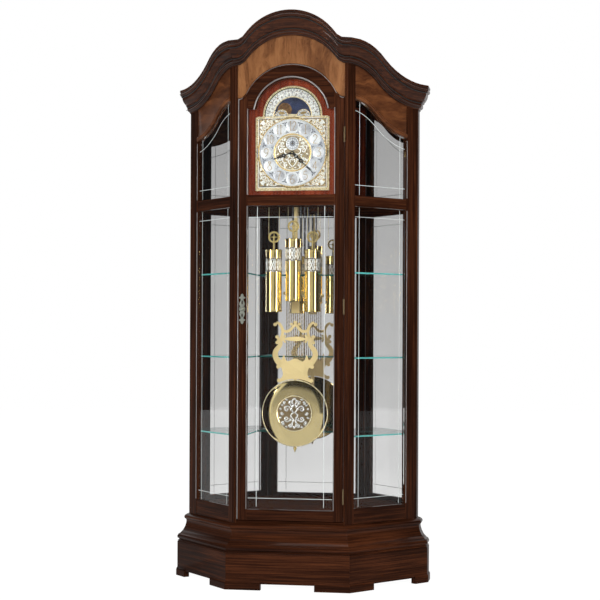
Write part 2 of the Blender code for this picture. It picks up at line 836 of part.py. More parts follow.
def side_frieze_section(distance):
    """The frieze board at one place: its curved lower lip and its top behind the cornice."""
    low = side_line(distance) - SIDE_FRIEZE_HEIGHT
    high = side_line(distance) + BACKING_RISE
    return [
        (-FRAME_THICKNESS, low),
        (LIP_PROJECTION * 0.6, low),
        (LIP_PROJECTION, low + LIP_HEIGHT * 0.25),
        (LIP_PROJECTION, low + LIP_HEIGHT * 0.75),
        (LIP_PROJECTION * 0.4, low + LIP_HEIGHT),
        (-RAIL_SETBACK, low + LIP_HEIGHT),
        (-RAIL_SETBACK, high),
        (-FRAME_THICKNESS, high),
    ]


def make_friezes():
    """Burl boards between the posts, under the cornice."""
    near, far = FRONT_STILE + GAP, CANT_LENGTH - BACK_STILE - GAP
    steps = 14
    rings = []
    for i in range(steps + 1):
        distance = near + (far - near) * i / steps
        ring = []
        for offset, z in side_frieze_section(distance):
            spot = on_cant(distance) + offset * CANT_NORMAL
            ring.append(place(spot.x, spot.y, z))
        rings.append(ring)
    right = loft("frieze_right", rings, BURL)
    flip(right, "frieze_left")

    half_width = JAMB_X - GAP
    rings = []
    for i in range(ARCH_STEPS + 1):
        x = half_width * (1 - 2 * i / ARCH_STEPS)
        low, high = door_line(x) + JAMB_GAP, front_line(x) + BACKING_RISE
        back, face = CASE_DEPTH - FRAME_THICKNESS, CASE_DEPTH - RAIL_SETBACK
        section = ((back, low), (face, low), (face, high), (back, high))
        rings.append([place(x, depth, z) for depth, z in section])
    loft("frieze_front", rings, BURL)


def make_boards():
    """The floor, the roof, the middle board with its well, the back panel and the mirror."""
    inset = FRAME_THICKNESS + GAP
    panel_back = MIRROR_FRONT - MIRROR - BACK_PANEL - GAP
    behind_door = CASE_DEPTH - FRAME_THICKNESS - JAMB_GAP
    floor = prism(
        "floor_board",
        inner_outline(inset, behind_door - BOARD, MIRROR_FRONT + GAP),
        FLOOR_TOP - BOARD,
        FLOOR_TOP,
        WOOD,
    )
    sill_x = (-JAMB_X + GAP, JAMB_X - GAP)
    sill = (CASE_BOTTOM + GAP, DOOR_BOTTOM - JAMB_GAP)
    upstand = (CASE_BOTTOM + GAP + RAIL_SETBACK, FLOOR_TOP - RAIL_SETBACK)
    fuse(
        floor,
        [
            block("upstand", sill_x, (behind_door - 2 * BOARD, behind_door), upstand, WOOD),
            block("sill", sill_x, (behind_door - BOARD, CASE_DEPTH - RAIL_SETBACK), sill, WOOD),
        ],
    )

    roof_front = DIAL_DEPTH - DIAL_PLATE - MAT_THICKNESS - 2 * GAP
    prism("roof_board", inner_outline(inset, roof_front, 0), ROOF_TOP - BOARD, ROOF_TOP, WOOD)

    middle = prism(
        "mid_board",
        inner_outline(inset, DIAL_DEPTH - DIAL_PLATE, MIRROR_FRONT + GAP),
        MID_BOARD_TOP - MID_BOARD,
        MID_BOARD_TOP,
        WOOD,
    )
    well = (MID_BOARD_TOP - MID_BOARD - OVERRUN, MID_BOARD_TOP + OVERRUN)
    cut(middle, [block("well", (-WELL_HALF_WIDTH, WELL_HALF_WIDTH), (WELL_BACK, WELL_FRONT), well, WOOD)])

    half_width = CASE_HALF_WIDTH - inset
    heights = (CASE_BOTTOM + GAP, ROOF_TOP - BOARD - GAP)
    panel_depths = (panel_back, panel_back + BACK_PANEL)
    block("back_panel", (-half_width, half_width), panel_depths, heights, BACK_WOOD)
    mirror_depths = (MIRROR_FRONT - MIRROR, MIRROR_FRONT)
    block("back_mirror", (-half_width, half_width), mirror_depths, heights, SILVERED)


def make_side_glass():
    """A tall lower pane and a shorter upper pane with a swept top, in each canted side."""
    near, far = FRONT_STILE + GAP, CANT_LENGTH - BACK_STILE - GAP
    front, rear = -PANE_SETBACK, -PANE_SETBACK - PANE
    low, high = PANE_BOTTOM + GAP, MID_RAIL_BOTTOM - GAP
    lower = cant_board("side_glass_lower_right", near, far, low, high, front, rear, GLASS)
    flip(lower, "side_glass_lower_left")
    steps = 14
    rings = []
    for i in range(steps + 1):
        distance = near + (far - near) * i / steps
        top = side_line(distance) - SIDE_FRIEZE_HEIGHT - GAP
        spots = [on_cant(distance) + offset * CANT_NORMAL for offset in (rear, front)]
        ring = [place(spot.x, spot.y, MID_RAIL_TOP + GAP) for spot in spots]
        ring += [place(spot.x, spot.y, top) for spot in reversed(spots)]
        rings.append(ring)
    upper = loft("side_glass_upper_right", rings, GLASS)
    flip(upper, "side_glass_upper_left")


def make_shelves():
    """Three glass shelves in each side compartment, clear of the pendulum's swing."""
    inset = FRAME_THICKNESS + SHELF_PLAY
    whole = inner_outline(inset, SHELF_FRONT_DEPTH, MIRROR_FRONT + SHELF_PLAY)
    outline = whole[:3] + [(SHELF_INNER, SHELF_FRONT_DEPTH), (SHELF_INNER, MIRROR_FRONT + SHELF_PLAY)]
    for height, level_name in zip(SHELF_HEIGHTS, ("low", "middle", "high")):
        right = prism(f"shelf_{level_name}_right", outline, height - SHELF, height, GLASS)
        flip(right, f"shelf_{level_name}_left")


def window_outline(shrink=0.0):
    """The door's upper window: square shoulders and a round arch."""
    half, arch = WINDOW_HALF_WIDTH - shrink, ARCH_HALF_WIDTH - shrink
    radius = (ARCH_HALF_WIDTH**2 + ARCH_RISE**2) / (2 * ARCH_RISE)
    centre = UPPER_SHOULDER + ARCH_RISE - radius
    shoulder = UPPER_SHOULDER - shrink
    spring = math.degrees(math.asin((shoulder - centre) / (radius - shrink)))
    curve = arc(0, centre, radius - shrink, spring, 180 - spring, 20)
    low = UPPER_BOTTOM + shrink
    return [(-half, low), (half, low), (half, shoulder), *curve, (-half, shoulder)]


def make_door():
    """The full-length door: stiles, rails and arched head glued up round two panes."""
    back, front = CASE_DEPTH - FRAME_THICKNESS, CASE_DEPTH
    head = [DOOR_HALF_WIDTH * (1 - 2 * i / ARCH_STEPS) for i in range(ARCH_STEPS + 1)]
    outline = [(-DOOR_HALF_WIDTH, DOOR_BOTTOM), (DOOR_HALF_WIDTH, DOOR_BOTTOM)]
    outline += [(x, door_line(x)) for x in head]
    door = slab("door_frame", outline, back, front, WOOD)
    bead = []
    for x in head[1:-1]:
        high = door_line(x) - RAIL_SETBACK
        low = high - ARCH_BEAD_HEIGHT
        proud = CASE_DEPTH + ARCH_BEAD_PROJECTION
        buried = CASE_DEPTH - RAIL_SETBACK
        rounded = ARCH_BEAD_HEIGHT / 4
        section = [(buried, low), (proud, low + rounded), (proud, high - rounded), (buried, high)]
        bead.append([place(x, depth, z) for depth, z in section])
    fuse(door, [loft("bead", bead, WOOD)])
    half = WINDOW_HALF_WIDTH
    through = (back - OVERRUN, front + OVERRUN)
    lower = block("lower", (-half, half), through, (WINDOW_BOTTOM, WINDOW_TOP), WOOD)
    upper = slab("upper", window_outline(), *through, WOOD)
    cut(door, [lower, upper])

    rear, face = CASE_DEPTH - PANE_SETBACK - PANE, CASE_DEPTH - PANE_SETBACK
    span = (-half + GAP, half - GAP)
    lower_pane = block("door_glass_lower", span, (rear, face), (WINDOW_BOTTOM + GAP, WINDOW_TOP - GAP), GLASS)
    upper_pane = slab("door_glass_upper", window_outline(GAP), rear, face, GLASS)
    hinge_axis = place((DOOR_HALF_WIDTH + JAMB_X) / 2, CASE_DEPTH + HINGE_STANDOFF, DOOR_BOTTOM)
    for piece in (door, lower_pane, upper_pane, make_pull()):
        pivot_at(piece, hinge_axis)


PULL_SHARES = (
    (0.00, 1.00),
    (0.35, 0.93),
    (0.50, 0.80),
    (0.95, 0.76),
    (0.98, 0.69),
    (0.45, 0.66),
    (0.40, 0.56),
    (0.80, 0.40),
    (0.85, 0.27),
    (0.55, 0.17),
    (0.80, 0.12),
    (0.95, 0.00),
)


def make_pull():
    """The ornamental door plate with its ball knob, on the door's left stile."""
    upper_right = [(PULL_HALF_WIDTH * x, PULL_HALF_LENGTH * z) for x, z in PULL_SHARES]
    right = upper_right + [(x, -z) for x, z in reversed(upper_right[:-1])]
    left = [(-x, z) for x, z in reversed(right[1:-1])]
    outline = [(PULL_X + x, PULL_HEIGHT + z) for x, z in right + left]
    back = CASE_DEPTH + GAP
    plate = slab("door_pull", outline, back, back + PULL_THICKNESS, PEWTER)
    cutters = []
    for side in (1, -1):
        z = PULL_HEIGHT + side * PULL_HALF_LENGTH * 0.42
        oval = ellipse(PULL_X, z, PULL_HALF_WIDTH * 0.22, PULL_HALF_LENGTH * 0.14, 12)
        cutters.append(slab("hole", oval, back - OVERRUN, back + OVERRUN, PEWTER))
    cut(plate, cutters)
    knob_centre = KNOB_REACH - KNOB_RADIUS
    profile = [(KNOB_STEM_RADIUS, PULL_THICKNESS / 2), (KNOB_STEM_RADIUS, knob_centre - KNOB_RADIUS * 0.8)]
    for i in range(1, 7):
        angle = math.radians(-60 + 25 * i)
        profile.append((KNOB_RADIUS * math.cos(angle), knob_centre + KNOB_RADIUS * math.sin(angle)))
    knob = turned_solid("knob", profile, forward_axis(PULL_X, PULL_HEIGHT, back), PEWTER, 16)
    return smooth_round(fuse(plate, [knob]))


def make_hinges():
    """Three knuckle hinges in the gap beside the door, each with its leaf against the post."""
    x = (DOOR_HALF_WIDTH + JAMB_X) / 2
    depth = CASE_DEPTH + HINGE_STANDOFF
    half = HINGE_LENGTH / 2
    for z, name in zip(HINGE_HEIGHTS, ("hinge_bottom", "hinge_middle", "hinge_top")):
        barrel = post(name, x, depth, HINGE_RADIUS, z - half, z + half, SATIN_BRASS, 12)
        leaf_depths = (CASE_DEPTH - HINGE_LEAF_DEPTH, depth)
        leaf_heights = (z - half + RAIL_SETBACK, z + half - RAIL_SETBACK)
        leaf = block("leaf", (x - HINGE_LEAF / 2, x + HINGE_LEAF / 2), leaf_depths, leaf_heights, SATIN_BRASS)
        smooth_round(fuse(barrel, [leaf]))


def dial_outline(inset=0.0):
    """The dial plate in front view: a square with a round arch, drawn in by an inset."""
    half, arch_radius = DIAL_HALF_WIDTH - inset, DIAL_ARCH_RADIUS - inset
    low, shoulder = DIAL_Z - DIAL_BOTTOM + inset, DIAL_Z + DIAL_SHOULDER - inset
    spring = math.degrees(math.asin((shoulder - MOON_Z) / arch_radius))
    curve = arc(0, MOON_Z, arch_radius, spring, 180 - spring, 24)
    return [(-half, low), (half, low), (half, shoulder), *curve, (-half, shoulder)]


def moon_outline():
    """The moon opening: a half round whose base has a hump at each side."""
    outer = arc(0, MOON_Z, MOON_OPENING_RADIUS, 0, 180, 20)
    left = arc(-MOON_HUMP_X, MOON_Z, MOON_HUMP_RADIUS, 180, 0, 10)
    right = arc(MOON_HUMP_X, MOON_Z, MOON_HUMP_RADIUS, 180, 0, 10)
    return outer + left + right


def make_dial():
    """The wooden surround, the pierced dial plate, its chapter ring and the moon disc."""
    plate_back = DIAL_DEPTH - DIAL_PLATE
    mat_front = plate_back - GAP
    bottom, top = MID_BOARD_TOP + GAP, DIAL_Z + MAT_TOP_RISE
    mat_span = (-MAT_HALF_WIDTH, MAT_HALF_WIDTH)
    mat = block("dial_surround", mat_span, (mat_front - MAT_THICKNESS, mat_front), (bottom, top), MAT_WOOD)
    hole = slab("hole", dial_outline(MAT_OVERLAP), DIAL_DEPTH - OVERRUN, DIAL_DEPTH, MAT_WOOD)
    cut(mat, [hole])

    plate = slab("dial_plate", dial_outline(), plate_back, DIAL_DEPTH + DIAL_BORDER_RISE, SATIN_BRASS)
    through = (plate_back - OVERRUN, DIAL_DEPTH + OVERRUN)
    cutters = [
        slab("recess", dial_outline(DIAL_BORDER), DIAL_DEPTH, DIAL_DEPTH + OVERRUN, SATIN_BRASS),
        slab("moon", moon_outline(), *through, SATIN_BRASS),
        peg("centre", 0, DIAL_Z, HOUR_PIPE_RADIUS + DIAL_BORDER_RISE, *through, SATIN_BRASS, 16),
        peg("seconds", 0, SECONDS_Z, SECONDS_ARBOR_RADIUS + DIAL_BORDER_RISE, *through, SATIN_BRASS, 10),
    ]
    for x, z in winding_places():
        cutters.append(peg("winding", x, z, WINDING_HOLE_RADIUS, *through, SATIN_BRASS, 12))
    slot_heights = (DIAL_Z - SLOT_HALF_HEIGHT, DIAL_Z + SLOT_HALF_HEIGHT)
    for side in (1, -1):
        centre = side * (LEVER_TIP_X - SLOT_HALF_WIDTH / 3)
        sides = (centre - SLOT_HALF_WIDTH, centre + SLOT_HALF_WIDTH)
        cutters.append(block("slot", sides, through, slot_heights, SATIN_BRASS))
    cut(plate, cutters)

    ring_back = DIAL_DEPTH + GAP
    profile = [
        (CHAPTER_INNER, 0),
        (CHAPTER_OUTER, 0),
        (CHAPTER_OUTER, CHAPTER_THICKNESS),
        (CHAPTER_INNER, CHAPTER_THICKNESS),
    ]
    ring = turned("chapter_ring", profile, forward_axis(0, DIAL_Z, ring_back), SILVER, 40)
    smooth_round(ring)

    disc_front = plate_back - 4 * GAP
    bore = moon_pin_radius() + GAP
    profile = [
        (bore, -MOON_DISC),
        (MOON_DISC_RADIUS, -MOON_DISC),
        (MOON_DISC_RADIUS, 0),
        (bore, 0),
    ]
    disc = turned("moon_disc", profile, forward_axis(0, MOON_Z, disc_front), BLUE, 40)
    pivot_at(smooth_round(disc), place(0, disc_front, MOON_Z))


def moon_pin_radius():
    """The pin that the moon disc turns on."""
    return CENTRE_ARBOR_RADIUS


def winding_places():
    """Front-view places of the three winding arbors: one below the centre and one at each side."""
    side_z = DIAL_Z - WINDING_SIDE_DROP
    return [(-WINDING_SPREAD, side_z), (0, DIAL_Z - WINDING_DROP), (WINDING_SPREAD, side_z)]


def make_levers():
    """The chime and silence levers, pivoted behind the dial, with knobs in its side slots."""
    arm_front = DIAL_DEPTH - DIAL_PLATE - 3 * GAP
    arm_back = arm_front - LEVER_THICKNESS
    knob_back = DIAL_DEPTH + DIAL_BORDER_RISE + 2 * GAP
    for side, name in ((1, "chime_lever"), (-1, "silence_lever")):
        pivot, tip = side * LEVER_PIVOT_X, side * LEVER_TIP_X
        inner, outer = sorted((pivot, tip))
        arm_z = (DIAL_Z - LEVER_HALF_WIDTH / 2, DIAL_Z + LEVER_HALF_WIDTH / 2)
        arm = block(name, (inner, outer), (arm_back, arm_front), arm_z, STEEL)
        eye_radius = LEVER_HALF_WIDTH * 1.6
        eye = peg("eye", pivot, DIAL_Z, eye_radius, arm_back + GAP / 2, arm_front - GAP / 2, STEEL, 14)
        stem_back = arm_back + LEVER_THICKNESS / 3
        stem = peg("stem", tip, DIAL_Z, LEVER_STEM_RADIUS, stem_back, knob_back + GAP, STEEL, 10)
        knob_front = knob_back + LEVER_KNOB_LENGTH
        knob = peg("knob", tip, DIAL_Z, LEVER_KNOB_RADIUS, knob_back, knob_front, STEEL, 10)
        fuse(arm, [eye, stem, knob])
        bore_radius, through = CENTRE_ARBOR_RADIUS + GAP, (arm_back - OVERRUN, arm_front + OVERRUN)
        cut(arm, [peg("bore", pivot, DIAL_Z, bore_radius, *through, STEEL, 14)])
        pivot_at(arm, place(pivot, arm_front, DIAL_Z))


# Outlines of the hands: place and half width as shares of the length
HOUR_SHARES = (
    (0.00, 0.070),
    (0.10, 0.056),
    (0.20, 0.028),
    (0.31, 0.022),
    (0.38, 0.046),
    (0.43, 0.104),
    (0.48, 0.114),
    (0.53, 0.050),
    (0.57, 0.060),
    (0.63, 0.062),
    (0.69, 0.026),
    (0.74, 0.042),
    (0.79, 0.020),
    (0.90, 0.016),
    (0.95, 0.042),
    (1.00, 0.006),
)
MINUTE_SHARES = (
    (0.00, 0.036),
    (0.08, 0.026),
    (0.12, 0.046),
    (0.17, 0.056),
    (0.22, 0.044),
    (0.27, 0.016),
    (0.33, 0.030),
    (0.37, 0.068),
    (0.41, 0.072),
    (0.45, 0.022),
    (0.50, 0.011),
    (0.64, 0.010),
    (0.70, 0.026),
    (0.77, 0.024),
    (0.84, 0.008),
    (1.00, 0.003),
)
SECOND_SHARES = (
    (0.00, 0.040),
    (0.25, 0.042),
    (1.00, 0.006),
)

# Eyes cut in the hands: place and size as shares of the length
HOUR_EYES = ((0.462, 0.030), (0.600, 0.015))
MINUTE_EYES = ((0.170, 0.020), (0.390, 0.021))


def hand_outline(shares, length, angle_degrees, z):
    """A symmetric hand outline, pointing clockwise from twelve by an angle."""
    clockwise = math.radians(angle_degrees)
    forward = Vector((math.sin(clockwise), math.cos(clockwise)))
    across = Vector((forward.y, -forward.x))
    right, left = [], []
    for along, width in shares:
        spot = Vector((0, z)) + along * length * forward
        right.append(tuple(spot + width * length * across))
        left.append(tuple(spot - width * length * across))
    return right + left[::-1]


def hand_eye(length, angle_degrees, z, share, size_share, steps=12):
    """An oval opening in a hand, at a share of its length."""
    clockwise = math.radians(angle_degrees)
    forward = Vector((math.sin(clockwise), math.cos(clockwise)))
    across = Vector((forward.y, -forward.x))
    centre = Vector((0, z)) + share * length * forward
    points = []
    for along, side in circle(0, 0, size_share * length, steps):
        points.append(tuple(centre + along * forward + 1.4 * side * across))
    return points


def make_hand(name, shares, eyes, z, length, angle, bore, front):
    """A flat hand on a collet, pierced by an eye at each swelling."""
    back = front - HAND_THICKNESS
    blade = slab(name, hand_outline(shares, length, angle, z), back, front, BLACK)
    collet = peg("collet", 0, z, bore + COLLET_WALL, back - GAP, front + GAP, BLACK, 20)
    fuse(blade, [collet])
    cutters = [peg("bore", 0, z, bore, back - OVERRUN, front + OVERRUN, BLACK, 20)]
    for place_share, size_share in eyes:
        eye = hand_eye(length, angle, z, place_share, size_share)
        cutters.append(slab("eye", eye, back - OVERRUN, front + OVERRUN, BLACK))
    cut(blade, cutters)
    return pivot_at(blade, place(0, front, z))


def make_hands():
    """Hour and minute hands on the centre arbor, and the seconds hand on its own."""
    bore = HOUR_PIPE_RADIUS + GAP
    front = DIAL_DEPTH + HOUR_RISE
    make_hand("hour_hand", HOUR_SHARES, HOUR_EYES, DIAL_Z, HOUR_LENGTH, HOUR_ANGLE, bore, front)
    bore = CENTRE_ARBOR_RADIUS + GAP
    front = DIAL_DEPTH + MINUTE_RISE
    make_hand("minute_hand", MINUTE_SHARES, MINUTE_EYES, DIAL_Z, MINUTE_LENGTH, MINUTE_ANGLE, bore, front)
    bore = SECONDS_ARBOR_RADIUS + GAP
    front = DIAL_DEPTH + SECOND_RISE
    make_hand("second_hand", SECOND_SHARES, (), SECONDS_Z, SECOND_LENGTH, SECOND_ANGLE, bore, front)


def gear(name, x, z, radius, depth):
    """A toothed wheel."""
    turn = math.pi / WHEEL_TEETH
    outline = []
    for i in range(2 * WHEEL_TEETH):
        reach = radius if i % 2 else radius - WHEEL_TOOTH
        outline.append((x + reach * math.cos(turn * i), z + reach * math.sin(turn * i)))
    return slab(name, outline, depth, depth + WHEEL_THICKNESS, BRASS)


def make_movement():
    """The movement: plates on pillars, cable drums and wheels, arbors to the dial, and brackets behind."""
    front, back = FRONT_PLATE_DEPTH, BACK_PLATE_DEPTH
    inside, outside = back - PLATE / 2, front - PLATE / 2
    sides = (-PLATE_HALF_WIDTH, PLATE_HALF_WIDTH)
    low, high = DIAL_Z - PLATE_BOTTOM_DROP, DIAL_Z + PLATE_TOP_RISE
    movement = block("movement", sides, (front - PLATE, front), (low, high), BRASS)
    parts = [block("back_plate", sides, (back - PLATE, back), (low, high), BRASS)]
    pillar_x = PLATE_HALF_WIDTH - PILLAR_INSET
    for x in (-pillar_x, pillar_x):
        for z in (low + PILLAR_INSET / 2 + PILLAR_RADIUS, high - PILLAR_INSET):
            parts.append(peg("pillar", x, z, PILLAR_RADIUS, inside, outside, BRASS, 12))
    for x in WEIGHT_X:
        parts.append(peg("drum", x, CABLE_TOP, DRUM_RADIUS, inside, outside, BRASS, 16))
        parts.append(gear("great_wheel", x, CABLE_TOP, WHEEL_RADIUS, back + 2 * PLATE))
        upper_z = MOON_Z - WHEEL_RADIUS
        parts.append(peg("train_arbor", x, upper_z, PILLAR_RADIUS / 2, inside, outside, STEEL, 10))
        parts.append(gear("wheel", x, upper_z, WHEEL_RADIUS * 0.8, back + 4 * PLATE))
    parts.append(gear("centre_wheel", 0, DIAL_Z + WHEEL_TOOTH, WHEEL_RADIUS * 0.7, back + 6 * PLATE))

    behind_plate = DIAL_DEPTH - DIAL_PLATE - 2 * GAP
    pipe_front = DIAL_DEPTH + HOUR_RISE + 3 * GAP
    arbor_front = DIAL_DEPTH + MINUTE_RISE + 4 * GAP
    seconds_front = DIAL_DEPTH + SECOND_RISE + 2 * GAP
    parts.append(peg("arbor", 0, DIAL_Z, CENTRE_ARBOR_RADIUS, inside, arbor_front, STEEL, 16))
    parts.append(peg("pipe", 0, DIAL_Z, HOUR_PIPE_RADIUS, outside, pipe_front, BRASS, 20))
    parts.append(peg("seconds", 0, SECONDS_Z, SECONDS_ARBOR_RADIUS, outside, seconds_front, STEEL, 10))
    for x, z in winding_places():
        parts.append(peg("winding", x, z, WINDING_SQUARE_RADIUS, outside, DIAL_DEPTH, STEEL, 4))
    parts.append(peg("moon_pin", 0, MOON_Z, moon_pin_radius(), outside, behind_plate, STEEL, 16))
    for side in (1, -1):
        pivot_x = side * LEVER_PIVOT_X
        parts.append(peg("pin", pivot_x, DIAL_Z, CENTRE_ARBOR_RADIUS, outside, behind_plate, STEEL, 14))

    cock_depths = (PENDULUM_DEPTH - 2 * STICK_THICKNESS, back - PLATE / 2)
    cock_heights = (PIVOT_Z, PIVOT_Z + COCK_HEIGHT)
    parts.append(block("cock", (-COCK_HALF_WIDTH, COCK_HALF_WIDTH), cock_depths, cock_heights, BRASS))
    rail_z = DIAL_Z + HAMMER_PIVOT_RISE
    rail = HAMMER_RAIL_HALF_WIDTH
    for side in (1, -1):
        arm_x = sorted((side * (rail - PLATE / 2), side * (rail + PLATE / 2)))
        arm_depths = (HAMMER_PIVOT_DEPTH - PILLAR_RADIUS, back - PLATE / 2)
        arm_heights = (rail_z - PILLAR_RADIUS, rail_z + PILLAR_RADIUS)
        parts.append(block("arm", arm_x, arm_depths, arm_heights, BRASS))
    ends = [(x, HAMMER_PIVOT_DEPTH, rail_z) for x in (-rail, rail)]
    parts.append(bar("rail", ends[0], ends[1], HAMMER_ROD_RADIUS, STEEL))
    smooth_round(fuse(movement, parts))


def bar(name, start, end, radius, material, steps=12):
    """A round bar between two (x, depth, height) points, with its ends cut square."""
    first, last = place(*start), place(*end)
    turn = (last - first).to_track_quat("Z", "Y")
    rings = []
    for centre in (first, last):
        ring = []
        for across, up in circle(0, 0, radius, steps):
            ring.append(centre + turn @ Vector((across, up, 0)))
        rings.append(ring)
    return loft(name, rings, material)


def make_seatboard():
    """The board that carries the movement, on two cheeks, with slots for the cables and pendulum."""
    half = SEATBOARD_HALF_WIDTH
    top, under = SEATBOARD_TOP, SEATBOARD_TOP - BOARD
    board = block("seatboard", (-half, half), (SEATBOARD_BACK, SEATBOARD_FRONT), (under, top), WOOD)
    cheek_depths = (SEATBOARD_BACK + RAIL_SETBACK, SEATBOARD_FRONT - RAIL_SETBACK)
    cheek_heights = (MID_BOARD_TOP + GAP, top - BOARD / 2)
    cheeks = []
    for side in (1, -1):
        cheek_x = sorted((side * WELL_HALF_WIDTH, side * (half - RAIL_SETBACK)))
        cheeks.append(block("cheek", cheek_x, cheek_depths, cheek_heights, WOOD))
    fuse(board, cheeks)
    through = (under - OVERRUN, top + OVERRUN)
    cutters = []
    for depth, half_width, half_depth in (
        (WEIGHT_DEPTH, CABLE_SLOT_HALF_WIDTH, CABLE_SLOT_HALF_DEPTH),
        (PENDULUM_DEPTH, PENDULUM_SLOT_HALF_WIDTH, PENDULUM_SLOT_HALF_DEPTH),
    ):
        depths = (depth - half_depth, depth + half_depth)
        cutters.append(block("slot", (-half_width, half_width), depths, through, WOOD))
    cut(board, cutters)


def rod_places():
    """Sideways places of the chime rods."""
    first = -ROD_SPACING * (ROD_COUNT - 1) / 2
    return [first + ROD_SPACING * i for i in range(ROD_COUNT)]


def make_chimes():
    """Tuned rods hanging from an iron block, and the hammers that strike them."""
    low, high = DIAL_Z + BLOCK_RISE, DIAL_Z + BLOCK_RISE + BLOCK_HEIGHT
    sides = (-BLOCK_HALF_WIDTH, BLOCK_HALF_WIDTH)
    depths = (MIRROR_FRONT + GAP, ROD_DEPTH + PILLAR_INSET)
    rods = block("chime_rods", sides, depths, (low, high), IRON)
    hanging = []
    for i, x in enumerate(rod_places()):
        bottom = low - ROD_LONGEST + ROD_STEP * i
        hanging.append(post("rod", x, ROD_DEPTH, ROD_RADIUS, bottom, low + BLOCK_HEIGHT / 2, STEEL, 10))
    smooth_round(fuse(rods, hanging))

    pivot_z = DIAL_Z + HAMMER_PIVOT_RISE
    pivot = place(0, HAMMER_PIVOT_DEPTH, pivot_z)
    reach = ROD_SPACING / 2 - GAP
    places = rod_places()
    for name, struck in (("chime_hammers", places[:-1]), ("strike_hammer", places[-1:])):
        ends = [
            (x, HAMMER_PIVOT_DEPTH, pivot_z)
            for x in (struck[0] - reach + HAMMER_ROD_RADIUS, struck[-1] + reach - HAMMER_ROD_RADIUS)
        ]
        sleeve = bar(name, ends[0], ends[1], HAMMER_COLLAR_RADIUS, BRASS, 14)
        heads = []
        head_back = ROD_DEPTH + ROD_RADIUS + HAMMER_DRAW
        head_z = pivot_z + HAMMER_HEAD_RISE
        head_front = head_back + HAMMER_HEAD_LENGTH
        for x in struck:
            foot = (x, HAMMER_PIVOT_DEPTH - HAMMER_COLLAR_RADIUS * 0.8, pivot_z)
            tip = (x, (head_back + head_front) / 2, head_z)
            heads.append(bar("arm", foot, tip, HAMMER_ARM_RADIUS, STEEL, 8))
            heads.append(peg("head", x, head_z, HAMMER_HEAD_RADIUS, head_back, head_front, BRASS, 12))
        fuse(sleeve, heads)
        past = [(end[0] + shift, end[1], end[2]) for end, shift in zip(ends, (-OVERRUN, OVERRUN))]
        cut(sleeve, [bar("bore", past[0], past[1], HAMMER_ROD_RADIUS + GAP, BRASS, 14)])
        pivot_at(smooth_round(sleeve), pivot)


def shifted(source, name, x, z):
    """A copy of a piece, moved sideways and up."""
    data = source.data.copy()
    made = bpy.data.objects.new(name, data)
    bpy.context.scene.collection.objects.link(made)
    for vertex in data.vertices:
        vertex.co += Vector((x, 0, z))
    return made


def make_weight(name, x, bottom):
    """A brass weight with the stirrup and pin that hang it from its pulley."""
    inner = WEIGHT_RADIUS - WEIGHT_RIM
    rim = WEIGHT_RADIUS / 5
    top = WEIGHT_HEIGHT
    profile = [
        (inner - WEIGHT_RIM, 0),
        (WEIGHT_RADIUS, 2 * WEIGHT_RIM),
        (WEIGHT_RADIUS, rim),
        (inner, rim + WEIGHT_RIM),
        (inner, top - rim - WEIGHT_RIM),
        (WEIGHT_RADIUS, top - rim),
        (WEIGHT_RADIUS, top - 2 * WEIGHT_RIM),
        (inner - WEIGHT_RIM, top),
    ]
    weight = turned_solid(name, profile, upright_axis(x, WEIGHT_DEPTH, bottom), BRASS, 20)
    crown = bottom + WEIGHT_HEIGHT
    strap_inner = PULLEY_HALF_WIDTH + STIRRUP_CLEARANCE
    strap_outer = strap_inner + STIRRUP_STRAP
    sides = (x - STIRRUP_HALF_WIDTH, x + STIRRUP_HALF_WIDTH)
    pulley_z = crown + PULLEY_RISE
    foot_depths = (WEIGHT_DEPTH - strap_outer + GAP, WEIGHT_DEPTH + strap_outer - GAP)
    foot_x = (sides[0] - GAP, sides[1] + GAP)
    parts = [block("foot", foot_x, foot_depths, (crown - WEIGHT_RIM, crown + STIRRUP_FOOT), BRASS)]
    for side in (1, -1):
        strap_depths = sorted((WEIGHT_DEPTH + side * strap_inner, WEIGHT_DEPTH + side * strap_outer))
        strap_z = (crown + STIRRUP_FOOT / 2, pulley_z + 2 * STIRRUP_HALF_WIDTH)
        parts.append(block("strap", sides, strap_depths, strap_z, BRASS))
    pin = (WEIGHT_DEPTH - strap_outer - STIRRUP_STRAP, WEIGHT_DEPTH + strap_outer + STIRRUP_STRAP)
    parts.append(peg("pin", x, pulley_z, PULLEY_PIN_RADIUS, *pin, STEEL, 12))
    return smooth_round(fuse(weight, parts))


